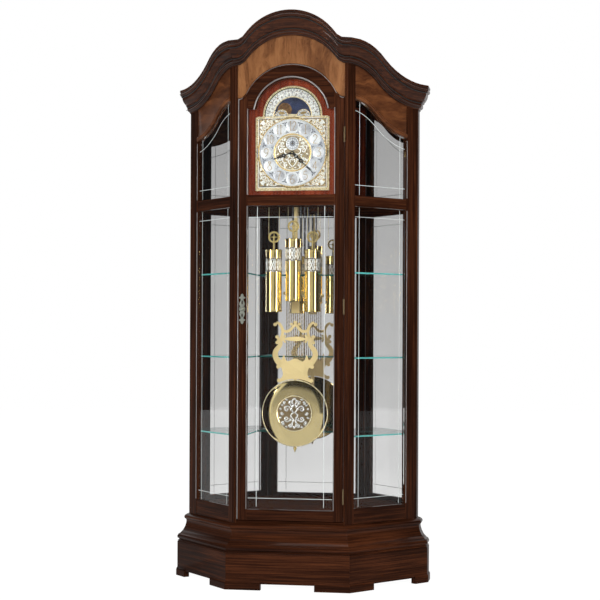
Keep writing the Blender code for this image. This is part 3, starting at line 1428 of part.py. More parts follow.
def make_pulley():
    """One grooved pulley wheel with four spokes, in the middle of the plan at floor height."""
    half = PULLEY_HALF_WIDTH
    rim_inner = PULLEY_GROOVE_RADIUS - PULLEY_RIM
    profile = [
        (rim_inner, -half),
        (PULLEY_RADIUS, -half),
        (PULLEY_RADIUS, -half * 0.8),
        (PULLEY_GROOVE_RADIUS, -half * 0.17),
        (PULLEY_GROOVE_RADIUS, half * 0.17),
        (PULLEY_RADIUS, half * 0.8),
        (PULLEY_RADIUS, half),
        (rim_inner, half),
    ]
    pulley = turned("pulley", profile, forward_axis(0, 0, WEIGHT_DEPTH), BRASS, 20)
    hub_depths = (WEIGHT_DEPTH - half * 0.9, WEIGHT_DEPTH + half * 0.9)
    spoke_reach = rim_inner + PULLEY_RIM / 3
    spoke_depths = (WEIGHT_DEPTH - half * 0.5, WEIGHT_DEPTH + half * 0.5)
    wide, narrow = (-spoke_reach, spoke_reach), (-PULLEY_SPOKE_HALF_WIDTH, PULLEY_SPOKE_HALF_WIDTH)
    other_depths = (spoke_depths[0] + GAP, spoke_depths[1] - GAP)
    parts = [
        peg("hub", 0, 0, PULLEY_HUB_RADIUS, *hub_depths, BRASS, 16),
        block("spoke", wide, spoke_depths, narrow, BRASS),
        block("spoke", narrow, other_depths, wide, BRASS),
    ]
    fuse(pulley, parts)
    through = (WEIGHT_DEPTH - OVERRUN, WEIGHT_DEPTH + OVERRUN)
    cut(pulley, [peg("bore", 0, 0, PULLEY_BORE_RADIUS, *through, BRASS, 16)])
    return smooth_round(pulley)


def make_cable(name, x, pulley_z):
    """A cable down one side of its pulley, round beneath it and up the other side."""
    run = CABLE_RUN_RADIUS
    path = [(x - run, CABLE_TOP)] + arc(x, pulley_z, run, 180, 360, 14) + [(x + run, CABLE_TOP)]
    rings = []
    for i, (px, pz) in enumerate(path):
        ahead = path[min(i + 1, len(path) - 1)]
        behind = path[max(i - 1, 0)]
        along = Vector((ahead[0] - behind[0], ahead[1] - behind[1])).normalized()
        if i in (0, 1):
            along = Vector((0, -1))
        if i >= len(path) - 2:
            along = Vector((0, 1))
        across = Vector((-along.y, along.x))
        ring = []
        for out, forward in circle(0, 0, CABLE_RADIUS, 6):
            ring.append(place(px + across.x * out, WEIGHT_DEPTH + forward, pz + across.y * out))
        rings.append(ring)
    cable = smooth_round(loft(name, rings, BRASS), 60)
    return pivot_at(cable, place(x, WEIGHT_DEPTH, CABLE_TOP))


def make_weights():
    """Three weights, each under a pulley in the loop of its own cable."""
    pulley = make_pulley()
    for x, bottom, side in zip(WEIGHT_X, WEIGHT_BOTTOMS, ("left", "centre", "right")):
        pulley_z = bottom + WEIGHT_HEIGHT + PULLEY_RISE
        centre = place(x, WEIGHT_DEPTH, pulley_z)
        pivot_at(make_weight(f"weight_{side}", x, bottom), place(x, WEIGHT_DEPTH, bottom))
        pivot_at(shifted(pulley, f"pulley_{side}", x, pulley_z), centre)
        make_cable(f"cable_{side}", x, pulley_z)
    bpy.data.objects.remove(pulley, do_unlink=True)


# Lyre arm centre line: across, up and half width, as shares of the lyre
LYRE_ARM_SHARES = (
    (0.850, 0.984, 0.045),
    (0.757, 0.972, 0.056),
    (0.673, 0.940, 0.060),
    (0.592, 0.883, 0.060),
    (0.568, 0.827, 0.060),
    (0.589, 0.771, 0.062),
    (0.636, 0.722, 0.064),
    (0.653, 0.690, 0.066),
    (0.642, 0.646, 0.072),
    (0.668, 0.602, 0.085),
    (0.768, 0.556, 0.100),
    (0.872, 0.500, 0.113),
    (0.904, 0.437, 0.118),
    (0.853, 0.368, 0.125),
    (0.716, 0.304, 0.145),
    (0.560, 0.264, 0.150),
)

LYRE_BASE_SHARES = (
    (0.000, 0.372),
    (0.120, 0.361),
    (0.240, 0.334),
    (0.340, 0.322),
    (0.420, 0.342),
    (0.470, 0.391),
    (0.500, 0.441),
    (0.560, 0.400),
    (0.640, 0.330),
    (0.720, 0.260),
    (0.680, 0.235),
    (0.600, 0.195),
    (0.555, 0.135),
    (0.555, 0.090),
    (0.590, 0.055),
    (0.660, 0.032),
)

SWAG_SHARES = (
    (0.620, 0.870, 0.045),
    (0.500, 0.838, 0.055),
    (0.360, 0.832, 0.060),
    (0.220, 0.860, 0.060),
    (0.100, 0.912, 0.055),
    (0.000, 0.948, 0.050),
)

# Round bosses on the lyre: across, up and radius as a share of its half width
BOSS_SHARES = (
    (0.912, 0.950, 0.082),
    (0.810, 0.739, 0.085),
    (0.810, 0.643, 0.085),
    (0.745, 0.690, 0.080),
    (0.758, 0.231, 0.088),
    (0.175, 0.955, 0.066),
    (0.735, 0.000, 0.084),
    (0.520, 0.722, 0.072),
    (0.520, 0.688, 0.072),
    (0.470, 0.755, 0.050),
    (0.470, 0.655, 0.050),
)

# Other places on the lyre: across and up
CREST_SHARES = (0.0, 0.985)
LENS_SHARES = (0.0, 0.705)
LENS_HALF_WIDTH_SHARE = 0.47
SCREW_SHARES = (0.385, 0.126)


def lyre_point(across, up):
    """A front-view point from shares of the lyre's half width and height."""
    return (LYRE_HALF_WIDTH * across, LYRE_BOTTOM + (LYRE_TOP - LYRE_BOTTOM) * up)


def smooth_path(shares, steps):
    """More places along a path of (across, up, half width), which still passes through each given one."""
    knots = [Vector((*lyre_point(across, up), LYRE_HALF_WIDTH * width)) for across, up, width in shares]
    path = []
    for i in range(len(knots) - 1):
        before, start = knots[max(i - 1, 0)], knots[i]
        end, after = knots[i + 1], knots[min(i + 2, len(knots) - 1)]
        for step in range(steps):
            t = step / steps
            bend = (end - before) * t + (2 * before - 5 * start + 4 * end - after) * t**2
            bend += (3 * start - before - 3 * end + after) * t**3
            path.append(start + bend / 2)
    path.append(knots[-1])
    return path


def ribbon(name, path, side, back, front):
    """A flat strip along a path, on the right (1) or the left (-1)."""
    right, left = [], []
    for i, spot in enumerate(path):
        ahead, behind = path[min(i + 1, len(path) - 1)], path[max(i - 1, 0)]
        along = Vector((ahead.x - behind.x, ahead.y - behind.y)).normalized()
        across = Vector((along.y, -along.x)) * spot.z
        right.append((side * (spot.x + across.x), spot.y + across.y))
        left.append((side * (spot.x - across.x), spot.y - across.y))
    return slab(name, right + left[::-1], back, front, SATIN_BRASS)


def make_pendulum():
    """The pendulum: spring and stick, lyre with its grid of rods, round bob and rating nut."""
    back, front = PENDULUM_DEPTH - 2 * GAP, PENDULUM_DEPTH + LYRE_PLATE
    axis_depth = PENDULUM_DEPTH - STICK_THICKNESS / 2
    pivot = place(0, axis_depth, PIVOT_Z)

    base_right = [lyre_point(across, up) for across, up in LYRE_BASE_SHARES]
    sweep_radius = BOB_RADIUS + LYRE_BOB_CLEARANCE
    foot_angle = math.degrees(math.acos(LYRE_HALF_WIDTH * 0.735 / sweep_radius))
    foot = arc(0, BOB_HEIGHT, sweep_radius, foot_angle, 180 - foot_angle, 16)
    base = base_right + foot + [(-x, z) for x, z in base_right[:0:-1]]
    lyre = slab("pendulum_lyre", base, back, front - GAP, SATIN_BRASS)

    arm_path, swag_path = smooth_path(LYRE_ARM_SHARES, 2), smooth_path(SWAG_SHARES, 2)
    parts = []
    for side in (1, -1):
        parts.append(ribbon("arm", arm_path, side, back - GAP, front))
        for i, (across, up, share) in enumerate(BOSS_SHARES):
            x, z = lyre_point(across, up)
            step = GAP * (i % 4) / 4
            depths = (back - 2 * GAP - step, front + GAP + step)
            parts.append(peg("boss", side * x, z, share * LYRE_HALF_WIDTH, *depths, SATIN_BRASS, 10))
    swag = [*swag_path, *[Vector((-spot.x, spot.y, spot.z)) for spot in swag_path[-2::-1]]]
    parts.append(ribbon("swag", swag, 1, back - 1.5 * GAP, front + GAP / 2))
    x, z = lyre_point(*CREST_SHARES)
    crest_radius = LYRE_HALF_WIDTH * 0.077
    parts.append(peg("crest", x, z, crest_radius, back - 1.2 * GAP, front + 2 * GAP, SATIN_BRASS, 16))
    x, z = lyre_point(*LENS_SHARES)
    lens = ellipse(x, z, LYRE_HALF_WIDTH * LENS_HALF_WIDTH_SHARE, LYRE_HALF_WIDTH * 0.1, 20)
    parts.append(slab("lens", lens, back - 0.7 * GAP, front - GAP / 2, SATIN_BRASS))
    for side in (1, -1):
        across, up = SCREW_SHARES
        x, z = lyre_point(side * across, up)
        screw_radius, screw_front = LYRE_HALF_WIDTH * 0.035, front + LYRE_PLATE / 2
        parts.append(peg("screw", x, z, screw_radius, back + GAP, screw_front, SATIN_BRASS, 10))
    for i in range(-GRID_COUNT, GRID_COUNT + 1):
        depth = PENDULUM_DEPTH - GRID_RADIUS + GAP
        parts.append(post("rod", i * GRID_SPACING, depth, GRID_RADIUS, GRID_BOTTOM, GRID_TOP, SATIN_BRASS, 6))
    bar_half = (GRID_COUNT + 1) * GRID_SPACING
    bar_depths = (PENDULUM_DEPTH - 2 * GRID_RADIUS - GAP, PENDULUM_DEPTH + GRID_RADIUS)
    bar_heights = (GRID_TOP - GRID_BAR / 2, GRID_TOP + GRID_BAR / 2)
    parts.append(block("grid_bar", (-bar_half, bar_half), bar_depths, bar_heights, SATIN_BRASS))
    end_depths = (bar_depths[0] - GAP, bar_depths[1] + GAP)
    for x in (-bar_half, bar_half):
        parts.append(peg("end", x, GRID_TOP, GRID_END_RADIUS, *end_depths, SATIN_BRASS, 12))
    block_top = GRID_TOP - GRID_BLOCK_DROP
    block_x = (-GRID_BLOCK_HALF_WIDTH, GRID_BLOCK_HALF_WIDTH)
    block_z = (block_top - GRID_BLOCK_HEIGHT, block_top)
    parts.append(block("grid_block", block_x, end_depths, block_z, SATIN_BRASS))

    stick_back = PENDULUM_DEPTH - STICK_THICKNESS
    stick_z = (BOB_HEIGHT - BOB_RADIUS + STICK_RUN, LYRE_BOTTOM + LYRE_HEIGHT / 4)
    upper_z = (GRID_TOP, PIVOT_Z - SPRING_LENGTH)
    stick = (-STICK_HALF_WIDTH, STICK_HALF_WIDTH)
    for heights in (stick_z, upper_z):
        parts.append(block("stick", stick, (stick_back, PENDULUM_DEPTH), heights, SATIN_BRASS))
    spring_depths = (axis_depth - STICK_THICKNESS / 8, axis_depth + STICK_THICKNESS / 8)
    spring_z = (PIVOT_Z - SPRING_LENGTH - STICK_THICKNESS, PIVOT_Z - GAP)
    parts.append(block("spring", (-SPRING_HALF_WIDTH, SPRING_HALF_WIDTH), spring_depths, spring_z, STEEL))
    rod_z = (BOB_HEIGHT - BOB_RADIUS - 3 * STICK_THICKNESS - STICK_THICKNESS, stick_z[0] + STICK_THICKNESS)
    rating_depth = axis_depth - GAP / 2
    parts.append(post("rating_rod", 0, rating_depth, RATING_ROD_RADIUS - GAP, *rod_z, STEEL, 12))
    pivot_at(smooth_round(fuse(lyre, parts)), pivot)

    bob_back = PENDULUM_DEPTH + GAP
    ring_inner, ring_outer = MEDALLION_RADIUS, MEDALLION_RADIUS + MEDALLION_RING
    profile = [
        (BOB_RADIUS - BOB_EDGE, 0),
        (BOB_RADIUS, BOB_EDGE),
        (BOB_RADIUS, 2 * BOB_EDGE),
        (BOB_RADIUS - BOB_EDGE, BOB_THICKNESS * 0.42),
        (BOB_RADIUS * 0.90, BOB_THICKNESS * 0.56),
        (BOB_RADIUS * 0.78, BOB_THICKNESS * 0.72),
        (BOB_RADIUS * 0.65, BOB_THICKNESS * 0.83),
        (ring_outer, BOB_THICKNESS * 0.88),
        (ring_outer, BOB_THICKNESS * 0.98),
        (ring_inner, BOB_THICKNESS * 0.98),
        (ring_inner, BOB_THICKNESS * 0.88),
        (ring_inner * 0.66, BOB_THICKNESS * 0.95),
        (ring_inner * 0.33, BOB_THICKNESS * 0.99),
        (RATING_POINT_RADIUS, BOB_THICKNESS),
    ]
    bob = turned_solid("pendulum_bob", profile, forward_axis(0, BOB_HEIGHT, bob_back), BRASS, 40)
    pivot_at(smooth_round(bob), pivot)

    nut_top = BOB_HEIGHT - BOB_RADIUS - 2 * GAP
    nut_bottom = nut_top - RATING_NUT_HEIGHT
    profile = [
        (RATING_POINT_RADIUS, 0),
        (RATING_NUT_RADIUS * 0.5, RATING_NUT_HEIGHT * 0.3),
        (RATING_NUT_RADIUS, RATING_NUT_HEIGHT * 0.62),
        (RATING_NUT_RADIUS, RATING_NUT_HEIGHT * 0.88),
        (RATING_NUT_RADIUS * 0.8, RATING_NUT_HEIGHT),
    ]
    nut = turned_solid("rating_nut", profile, upright_axis(0, rating_depth, nut_bottom), BRASS, 18)
    bore_bottom = rod_z[0] - RATING_ROD_RADIUS / 2
    cut(nut, [post("bore", 0, rating_depth, RATING_ROD_RADIUS, bore_bottom, nut_top + OVERRUN, BRASS, 12)])
    pivot_at(smooth_round(nut), place(0, rating_depth, nut_bottom))


make_cornice()
make_plinth()
make_base_moulding()
make_side_frames()
make_friezes()
make_boards()
make_side_glass()
make_shelves()
make_door()
make_hinges()
make_dial()
make_levers()
make_hands()
make_movement()
make_seatboard()
make_chimes()
make_weights()
make_pendulum()
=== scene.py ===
"""Looks of the curio floor clock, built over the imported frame."""

import json
import math
from functools import cached_property

import bmesh
import bpy
from mathutils import Matrix, Vector


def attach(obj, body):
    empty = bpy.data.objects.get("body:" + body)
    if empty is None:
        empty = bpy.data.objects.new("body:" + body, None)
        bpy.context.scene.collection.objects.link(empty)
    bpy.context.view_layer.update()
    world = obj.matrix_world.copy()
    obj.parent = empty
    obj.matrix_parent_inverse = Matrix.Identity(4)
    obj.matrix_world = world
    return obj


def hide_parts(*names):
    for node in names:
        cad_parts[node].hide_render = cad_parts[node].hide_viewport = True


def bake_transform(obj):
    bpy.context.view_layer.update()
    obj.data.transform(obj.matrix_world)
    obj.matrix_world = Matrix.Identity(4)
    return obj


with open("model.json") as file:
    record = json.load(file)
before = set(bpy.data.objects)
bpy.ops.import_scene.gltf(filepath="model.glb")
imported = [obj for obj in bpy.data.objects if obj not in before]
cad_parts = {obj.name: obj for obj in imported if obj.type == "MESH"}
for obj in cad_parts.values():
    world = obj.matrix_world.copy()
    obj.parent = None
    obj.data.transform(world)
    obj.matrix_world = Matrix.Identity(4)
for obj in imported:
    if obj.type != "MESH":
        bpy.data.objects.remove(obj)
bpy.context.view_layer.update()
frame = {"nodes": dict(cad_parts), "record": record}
scene = bpy.context.scene

# Places and sizes of pieces are in millimetres, and depth is measured forward from the wall;
# shaders measure in metres
MM = 0.001
BACK_Y = 209.5
CASE_FRONT, PANE_FACE = 368.2, 360.2
CORNER_X, CANT = 226.3, 390.6
ALONG = Vector((0.64438, 0.76471, 0))
NORMAL = Vector((0.76471, -0.64438, 0))
DOOR_HALF_WIDTH, DOOR_SHOULDER, DOOR_RISE, DOOR_CONVEX = 213.7, 1947, 135, 0.84
CROWN_CORNER, CROWN_RISE, CROWN_CONVEX = 2079, 116, 0.8
CANT_DROP, CANT_CONVEX = 145, 0.4
DIAL, MOON, SECONDS, BOB = 1735, 1881, 1771, 691.5
FIELD, RING_FACE, MOON_FACE = 330, 331.8, 326.3
HOUR_REACH = 106
BOB_BACK, BOB_RADIUS = 242.3, 135.5
WEIGHT_RADIUS, WEIGHT_HEIGHT, WEIGHT_DEPTH = 33, 250, 300
SIDES = (("left", -1), ("right", 1))


# Shader building


class Wire:
    """An output of a shader node; arithmetic with wires and numbers adds nodes to its tree."""

    def __init__(self, tree, socket):
        self.tree, self.socket = tree, socket

    def math(self, operation, *others):
        return add(self.tree, "Math", dict(enumerate((self, *others))), operation=operation)

    def __add__(self, other):
        return self.math("ADD", other)

    def __sub__(self, other):
        return self.math("SUBTRACT", other)

    def __rsub__(self, other):
        return add(self.tree, "Math", {0: other, 1: self}, operation="SUBTRACT")

    def __mul__(self, other):
        return self.math("MULTIPLY", other)

    def __or__(self, other):
        return self.math("MAXIMUM", other)

    def __abs__(self):
        return self.math("ABSOLUTE")

    def below(self, limit):
        return self.math("LESS_THAN", limit)

    def above(self, limit):
        return self.math("GREATER_THAN", limit)

    def spread(self, low, high, to_low=0.0, to_high=1.0):
        """The range from low to high stretched over another, and held at its ends."""
        return add(self.tree, "MapRange", {0: self, 1: low, 2: high, 3: to_low, 4: to_high}, clamp=True)

    def band(self, low, high, edge=0.0001):
        """1 from low to high, with soft edges."""
        return self.spread(low - edge, low + edge) * self.spread(high - edge, high + edge, 1.0, 0.0)

    def mix(self, first, second):
        """The first colour or vector where this share is 0, and the second where it is 1."""
        return add(self.tree, "Mix", {0: self, 6: first, 7: second}, 2, data_type="RGBA")

    def darkened(self, share):
        inputs = {0: 1.0, 6: self, 7: vec(share, share, share)}
        return add(self.tree, "Mix", inputs, 2, data_type="RGBA", blend_type="MULTIPLY")

    def ramp(self, stops):
        stops = list(stops)
        color = add(self.tree, "ValToRGB", {0: self})
        elements = color.socket.node.color_ramp.elements
        while len(elements) < len(stops):
            elements.new(0.5)
        for element, (spot, shade) in zip(elements, stops):
            element.position = spot
            element.color = (*shade, 1)
        return color

    def bump(self, strength, distance=0.0002):
        return add(self.tree, "Bump", {"Strength": strength, "Distance": distance, "Height": self})

    def xyz(self):
        first = add(self.tree, "SeparateXYZ", {0: self})
        return [Wire(self.tree, socket) for socket in first.socket.node.outputs]

    def scaled(self, factors):
        return add(self.tree, "VectorMath", {0: self, 1: factors}, operation="MULTIPLY")

    def moved(self, shift):
        return add(self.tree, "VectorMath", {0: self, 1: shift}, operation="ADD")

    def noise(self, scale=1.0, detail=4.0, rough=0.5, warp=0.0):
        inputs = {"Vector": self, "Scale": scale, "Detail": detail, "Roughness": rough, "Distortion": warp}
        return add(self.tree, "TexNoise", inputs)

    def cells(self, scale=1.0):
        return add(self.tree, "TexVoronoi", {"Vector": self, "Scale": scale}, "Distance", feature="F1")


def plug(tree, value, socket):
    """Feed a socket from a wire, or set it to a number, a vector or a colour."""
    if isinstance(value, Wire):
        tree.links.new(value.socket, socket)
    elif socket.type == "RGBA":
        socket.default_value = (*value, 1)
    else:
        socket.default_value = value


def add(tree, kind, inputs=None, out=0, **props):
    """A new node, as the wire from one of its outputs."""
    node = tree.nodes.new("ShaderNode" + kind)
    for key, value in props.items():
        setattr(node, key, value)
    for key, value in (inputs or {}).items():
        plug(tree, value, node.inputs[key])
    return Wire(tree, node.outputs[out])


def vec(*parts):
    """A vector from numbers and at least one wire."""
    tree = next(part.tree for part in parts if isinstance(part, Wire))
    return add(tree, "CombineXYZ", dict(enumerate(parts)))


def rays(tree):
    """Shares of the light path: straight from the camera, and by way of gloss or glass."""
    seen = add(tree, "LightPath", out="Is Camera Ray")
    by_way = add(tree, "LightPath", out="Is Glossy Ray") | add(tree, "LightPath", out="Is Transmission Ray")
    return seen, by_way


class Look:
    """A material built round one Principled shader."""

    def __init__(self, name, color, **settings):
        self.material = bpy.data.materials.new(name)
        self.material.use_nodes = True
        self.material.diffuse_color = (*color, 1)
        self.tree = self.material.node_tree
        self.bsdf = self.tree.nodes["Principled BSDF"]
        self.surface = Wire(self.tree, self.bsdf.outputs[0])
        self.set(base_color=color, **settings)

    def set(self, **settings):
        for key, value in settings.items():
            name = key.replace("_", " ").title().replace("Ior", "IOR")
            plug(self.tree, value, self.bsdf.inputs[name])
        return self.material

    def blend(self, share, other):
        """Show another shader in place of this one by a share."""
        mixed = add(self.tree, "MixShader", {0: share, 1: self.surface, 2: other})
        plug(self.tree, mixed, self.tree.nodes["Material Output"].inputs[0])

    @cached_property
    def position(self):
        return add(self.tree, "TexCoord", out="Object")


def grain_vector(look, grain):
    """Object position turned so that its first axis runs along the grain."""
    x, y, z = look.position.xyz()
    upright, across = vec(z, x, y), vec(x, z, y)
    if grain == "upright":
        return upright
    if grain == "across":
        return across
    if grain == "mitred":
        return vec(x + y, z, 0.0)
    if grain == "door":
        rails = z.below(0.313) + z.band(1.522, 1.564) + z.above(1.906)
        return (rails * abs(x).below(0.1735)).mix(upright, across)
    side = 1 if grain.endswith("right") else -1
    along, out = (x * (side * line.x) + y * line.y for line in (ALONG, NORMAL))
    level = vec(along, z, out)
    if grain.startswith("cant"):
        return level
    rails = z.below(0.321) + z.band(1.519, 1.562)
    start = MM * (CORNER_X * ALONG.x - (CASE_FRONT - BACK_Y) * ALONG.y)
    inner = along.band(start + 0.042, start + CANT * MM - 0.065)
    return (rails * inner).mix(upright, level)


def wood(name, grain, colors, seed=0.0, gloss=0.02, coat=0.02, **settings):
    """Lacquered wood: streaks and fine lines along the grain, a broad figure, and dark pores."""
    look = Look(name, colors[1], specular_ior_level=gloss, coat_weight=coat, coat_roughness=0.09, **settings)
    vector = grain_vector(look, grain).moved((seed, seed, seed))
    streaks = vector.scaled((2.5, 100, 100)).noise(detail=5, rough=0.6, warp=0.3)
    lines = vector.scaled((6, 340, 340)).noise(detail=3, warp=0.2)
    figure = vector.scaled((1.1, 11, 11)).noise(detail=2, warp=0.7)
    pore = vector.scaled((45, 800, 800)).noise(detail=2).spread(0.3, 0.44, 0.62, 1.0)
    value = streaks * 0.46 + figure * 0.28 + lines * 0.26
    return look.set(
        base_color=value.ramp(zip((0.39, 0.5, 0.63), colors)).darkened(pore),
        roughness=streaks.spread(0.3, 0.7, 0.28, 0.42),
        normal=(lines * 0.5 + pore).bump(0.1, 0.0003),
    )


def veneer(name, grain, colors, ripple, eyes=0.5):
    """Figured veneer: wavy bands, a rippled shimmer across them, scattered eyes and a satin lacquer."""
    look = Look(name, colors[1], roughness=0.3, specular_ior_level=0.1, coat_weight=0.05, coat_roughness=0.1)
    vector = grain_vector(look, grain)
    bend = (vector.noise(6.0, 2, warp=1.0) - 0.5) * ripple
    warped = vector.moved(vec(0.0, bend, bend))
    cloud = warped.scaled((7, 60, 60)).noise(detail=6, rough=0.6, warp=1.2)
    broad = warped.scaled((3.5, 15, 15)).noise(detail=3, warp=1.6)
    fine = warped.scaled((60, 190, 190)).noise(detail=4, rough=0.6, warp=0.8)
    value = cloud * 0.34 + broad * 0.52 + fine * 0.14
    dots = warped.scaled((24, 42, 42)).cells().spread(0.04, 0.16, eyes, 1.0) | broad.spread(0.45, 0.6)
    color = value.ramp(zip((0.36, 0.46, 0.55, 0.68), colors)).darkened(dots)
    return look.set(base_color=color, normal=fine.bump(0.06, 0.0003))


def glass(name, tint):
    """Clear polished glass that lets the lamps through."""
    look = Look(name, tint, roughness=0.0, transmission_weight=1.0, ior=1.22)
    clear = add(look.tree, "BsdfTransparent", {0: (0.97, 0.985, 0.98)})
    look.blend(add(look.tree, "LightPath", out="Is Shadow Ray"), clear)
    return look


def shelf_glass(name, edge):
    """Clear on its faces and green along its edges, where the light runs far through it."""
    clear = (0.95, 0.99, 0.98)
    look = glass(name, clear)
    up = abs(add(look.tree, "NewGeometry", out="Normal").xyz()[2])
    color = up.spread(0.4, 0.6).mix(edge, clear)
    return look.set(base_color=color, transmission_weight=up.spread(0.4, 0.6, 0.2, 1.0))


def metal(name, color, roughness, wear=0.06, scale=120.0, brushed=(1, 1, 1), dark=0.86, bump=0.03, shine=1.0):
    """Metal with slight unevenness in its polish and tone; less shine stands for a frosted face."""
    look = Look(name, color, metallic=shine)
    grain = look.position.scaled(brushed).noise(scale, 4, 0.6)
    tint = look.position.noise(14.0, 3)
    return look.set(
        base_color=tint.spread(0.35, 0.65).mix([c * dark for c in color], color),
        roughness=grain.spread(0.3, 0.7, max(0.02, roughness - wear), roughness + wear),
        normal=grain.bump(bump),
    )


def paint(name, color, roughness=0.4, variation=0.15):
    """Enamel with slight unevenness."""
    look = Look(name, color, roughness=roughness)
    cloud = look.position.noise(30.0, 4, 0.6)
    low, high = ([c * (1 + change) for c in color] for change in (-variation, variation))
    return look.set(base_color=cloud.mix(low, high), normal=cloud.bump(0.04))


def satin_lyre():
    """Pale lacquered brass with a fine matt grain."""
    look = Look("lyre_brass", (0.72, 0.56, 0.29), metallic=0.4)
    grain = look.position.scaled((1, 1, 9)).noise(140.0, 4, 0.6)
    color = grain.mix((0.56, 0.42, 0.19), (0.68, 0.53, 0.265))
    return look.set(base_color=color, roughness=grain.spread(0.3, 0.7, 0.5, 0.62))


def dial_place(look, centre):
    """Sideways place, height over a centre, and distance from it, all in metres."""
    x, _, z = look.position.xyz()
    up = z - centre * MM
    return x, up, (x * x + up * up).math("SQRT")


def plate_face():
    """The dial plate: bright border, speckled gold corners, tawny centre, a silvered arch and a painted
    shadow line round its band.
    """
    look = Look("dial_plate_face", (0.8, 0.62, 0.34), metallic=0.9)
    position = look.position
    _, y, z = position.xyz()
    reach, arch = (dial_place(look, centre)[2] for centre in (DIAL, MOON))
    speck = position.noise(190, 3, 0.6).spread(0.5, 0.6)
    spot = position.moved((3, 3, 3)).noise(150, 3, 0.6).spread(0.54, 0.6)
    corners = speck.mix((0.78, 0.58, 0.3), (0.13, 0.1, 0.075))
    centre = (speck * 0.6).mix((0.62, 0.5, 0.32), (0.22, 0.17, 0.12))
    silvered = spot.mix((0.8, 0.8, 0.8), (0.6, 0.44, 0.22))
    filigree = (speck * 0.6).mix(silvered, (0.22, 0.22, 0.24))
    in_arch = z.above(1.8775)
    color = in_arch.mix(reach.below(0.074).mix(corners, centre), filigree)
    # Painted shadow: a dark green line round the arch band, where shade falls between the band and its rim.
    color = (in_arch * arch.band(0.1085, 0.1145)).mix(color, (0.085, 0.105, 0.055))
    border = y.below((BACK_Y - FIELD - 1) * MM)
    return look.set(
        base_color=border.mix(color, (0.86, 0.71, 0.43)),
        roughness=position.noise(240, 3, 0.6).spread(0.3, 0.7, 0.18, 0.34),
    )


def spun_silver():
    """Silver turned on a lathe, with fine turning rings, and painted sheen: two bright fans swept round the
    dial's centre in its colour.
    """
    low, high = (0.55, 0.57, 0.62), (0.95, 0.95, 0.96)
    look = Look("spun_silver", high, metallic=0.8)
    x, up, reach = dial_place(look, DIAL)
    angle = x.math("ARCTAN2", up)
    # Painted sheen: the colour grows lighter and darker with the angle round the dial, standing in for the
    # lamps' reflection.
    painted_sheen = (angle * 2.0 + 1.9).math("SINE")
    rings = vec(reach * 900.0, 0.0, angle).noise(detail=2)
    value = painted_sheen * 0.34 + rings.spread(0.3, 0.7, 0.35, 0.65)
    color = value.spread(0.0, 1.0).mix(low, high)
    return look.set(base_color=color, roughness=rings.spread(0.3, 0.7, 0.22, 0.38))


def cartouche_silver():
    """The twelve round cartouches, with painted reflection: bright fans about each one's middle, and tones
    lighter or darker by its place round the ring.
    """
    look = Look("cartouche_silver", (0.8, 0.8, 0.82), metallic=0.8)
    x, up, _ = dial_place(look, DIAL)
    step = math.pi / 6
    hour = x.math("ARCTAN2", up).math("DIVIDE", step).math("ROUND")
    angle = hour * step
    own_x = x - angle.math("SINE") * (HOUR_REACH * MM)
    own_up = up - angle.math("COSINE") * (HOUR_REACH * MM)
    # Painted reflection: the fans and the tones by place round the ring stand in for how each cartouche
    # catches the light.
    fans = (own_x.math("ARCTAN2", own_up) * 2.0 + hour * 2.1).math("SINE")
    sides, beat = (angle * 2.0).math("COSINE"), (angle * 4.0).math("SINE")
    value = fans * 0.18 - (sides + beat) * 0.3 + 0.55
    color = value.spread(0.0, 1.0).mix((0.5, 0.5, 0.53), (0.98, 0.98, 1.0))
    grain = look.position.noise(260, 2)
    return look.set(base_color=color, roughness=grain.spread(0.3, 0.7, 0.25, 0.36))


def seconds_face():
    """The small seconds dial: a ring of ticks round a dark middle."""
    look = Look("seconds_face", (0.84, 0.85, 0.88), metallic=0.8, roughness=0.3)
    x, up, reach = dial_place(look, SECONDS)
    angle = x.math("ARCTAN2", up)

    def ticks(count, width, low, high):
        beat = (angle * (count / (2 * math.pi))).math("PINGPONG", 0.5)
        return beat.below(width) * reach.band(low, high)

    ink = ticks(60, 0.16, 0.0192, 0.0225) | ticks(12, 0.075, 0.014, 0.0225)
    ink = ink | reach.band(0.0224, 0.0229) | reach.band(0.0092, 0.0112)
    color = reach.band(-1.0, 0.0092).mix((0.84, 0.85, 0.88), (0.42, 0.43, 0.46))
    return look.set(base_color=ink.mix(color, (0.05, 0.05, 0.06)))


def night_sky():
    """Deep blue enamel with clouds of lighter blue and tiny stars."""
    look = Look("night_sky", (0.012, 0.022, 0.075), roughness=0.35)
    cloud = look.position.noise(34.0, 4, 0.6, 0.8)
    color = cloud.ramp(((0.35, (0.004, 0.006, 0.022)), (0.62, (0.011, 0.019, 0.06))))
    stars = look.position.cells(150.0).spread(0.06, 0.16, 1.0, 0.0) * cloud.spread(0.46, 0.54)
    return look.set(base_color=stars.mix(color, (0.55, 0.56, 0.6)))


def moon_face():
    """Tawny gold with brown seas."""
    look = Look("moon_face", (0.2, 0.1, 0.035), metallic=0.5, roughness=0.42)
    seas = look.position.noise(62.0, 5, 0.6, 0.6)
    stops = ((0.38, (0.06, 0.026, 0.01)), (0.52, (0.13, 0.062, 0.021)), (0.66, (0.26, 0.145, 0.05)))
    return look.set(base_color=seas.ramp(stops))


# Materials

CASE_COLORS = ((0.009, 0.003, 0.0016), (0.026, 0.008, 0.0036), (0.075, 0.023, 0.009))
CROWN_COLORS = ((0.011, 0.0032, 0.0015), (0.032, 0.0092, 0.0036), (0.076, 0.0225, 0.008))
DIAL_COLORS = ((0.07, 0.01, 0.0045), (0.165, 0.026, 0.01), (0.27, 0.052, 0.018))
BACK_COLORS = ((0.06, 0.025, 0.012), (0.11, 0.05, 0.025), (0.16, 0.08, 0.04))
GOLDEN_VENEER = ((0.07, 0.025, 0.009), (0.125, 0.048, 0.017), (0.18, 0.074, 0.027), (0.25, 0.112, 0.044))
RED_VENEER = ((0.03, 0.0095, 0.004), (0.07, 0.023, 0.009), (0.115, 0.039, 0.014), (0.18, 0.066, 0.024))

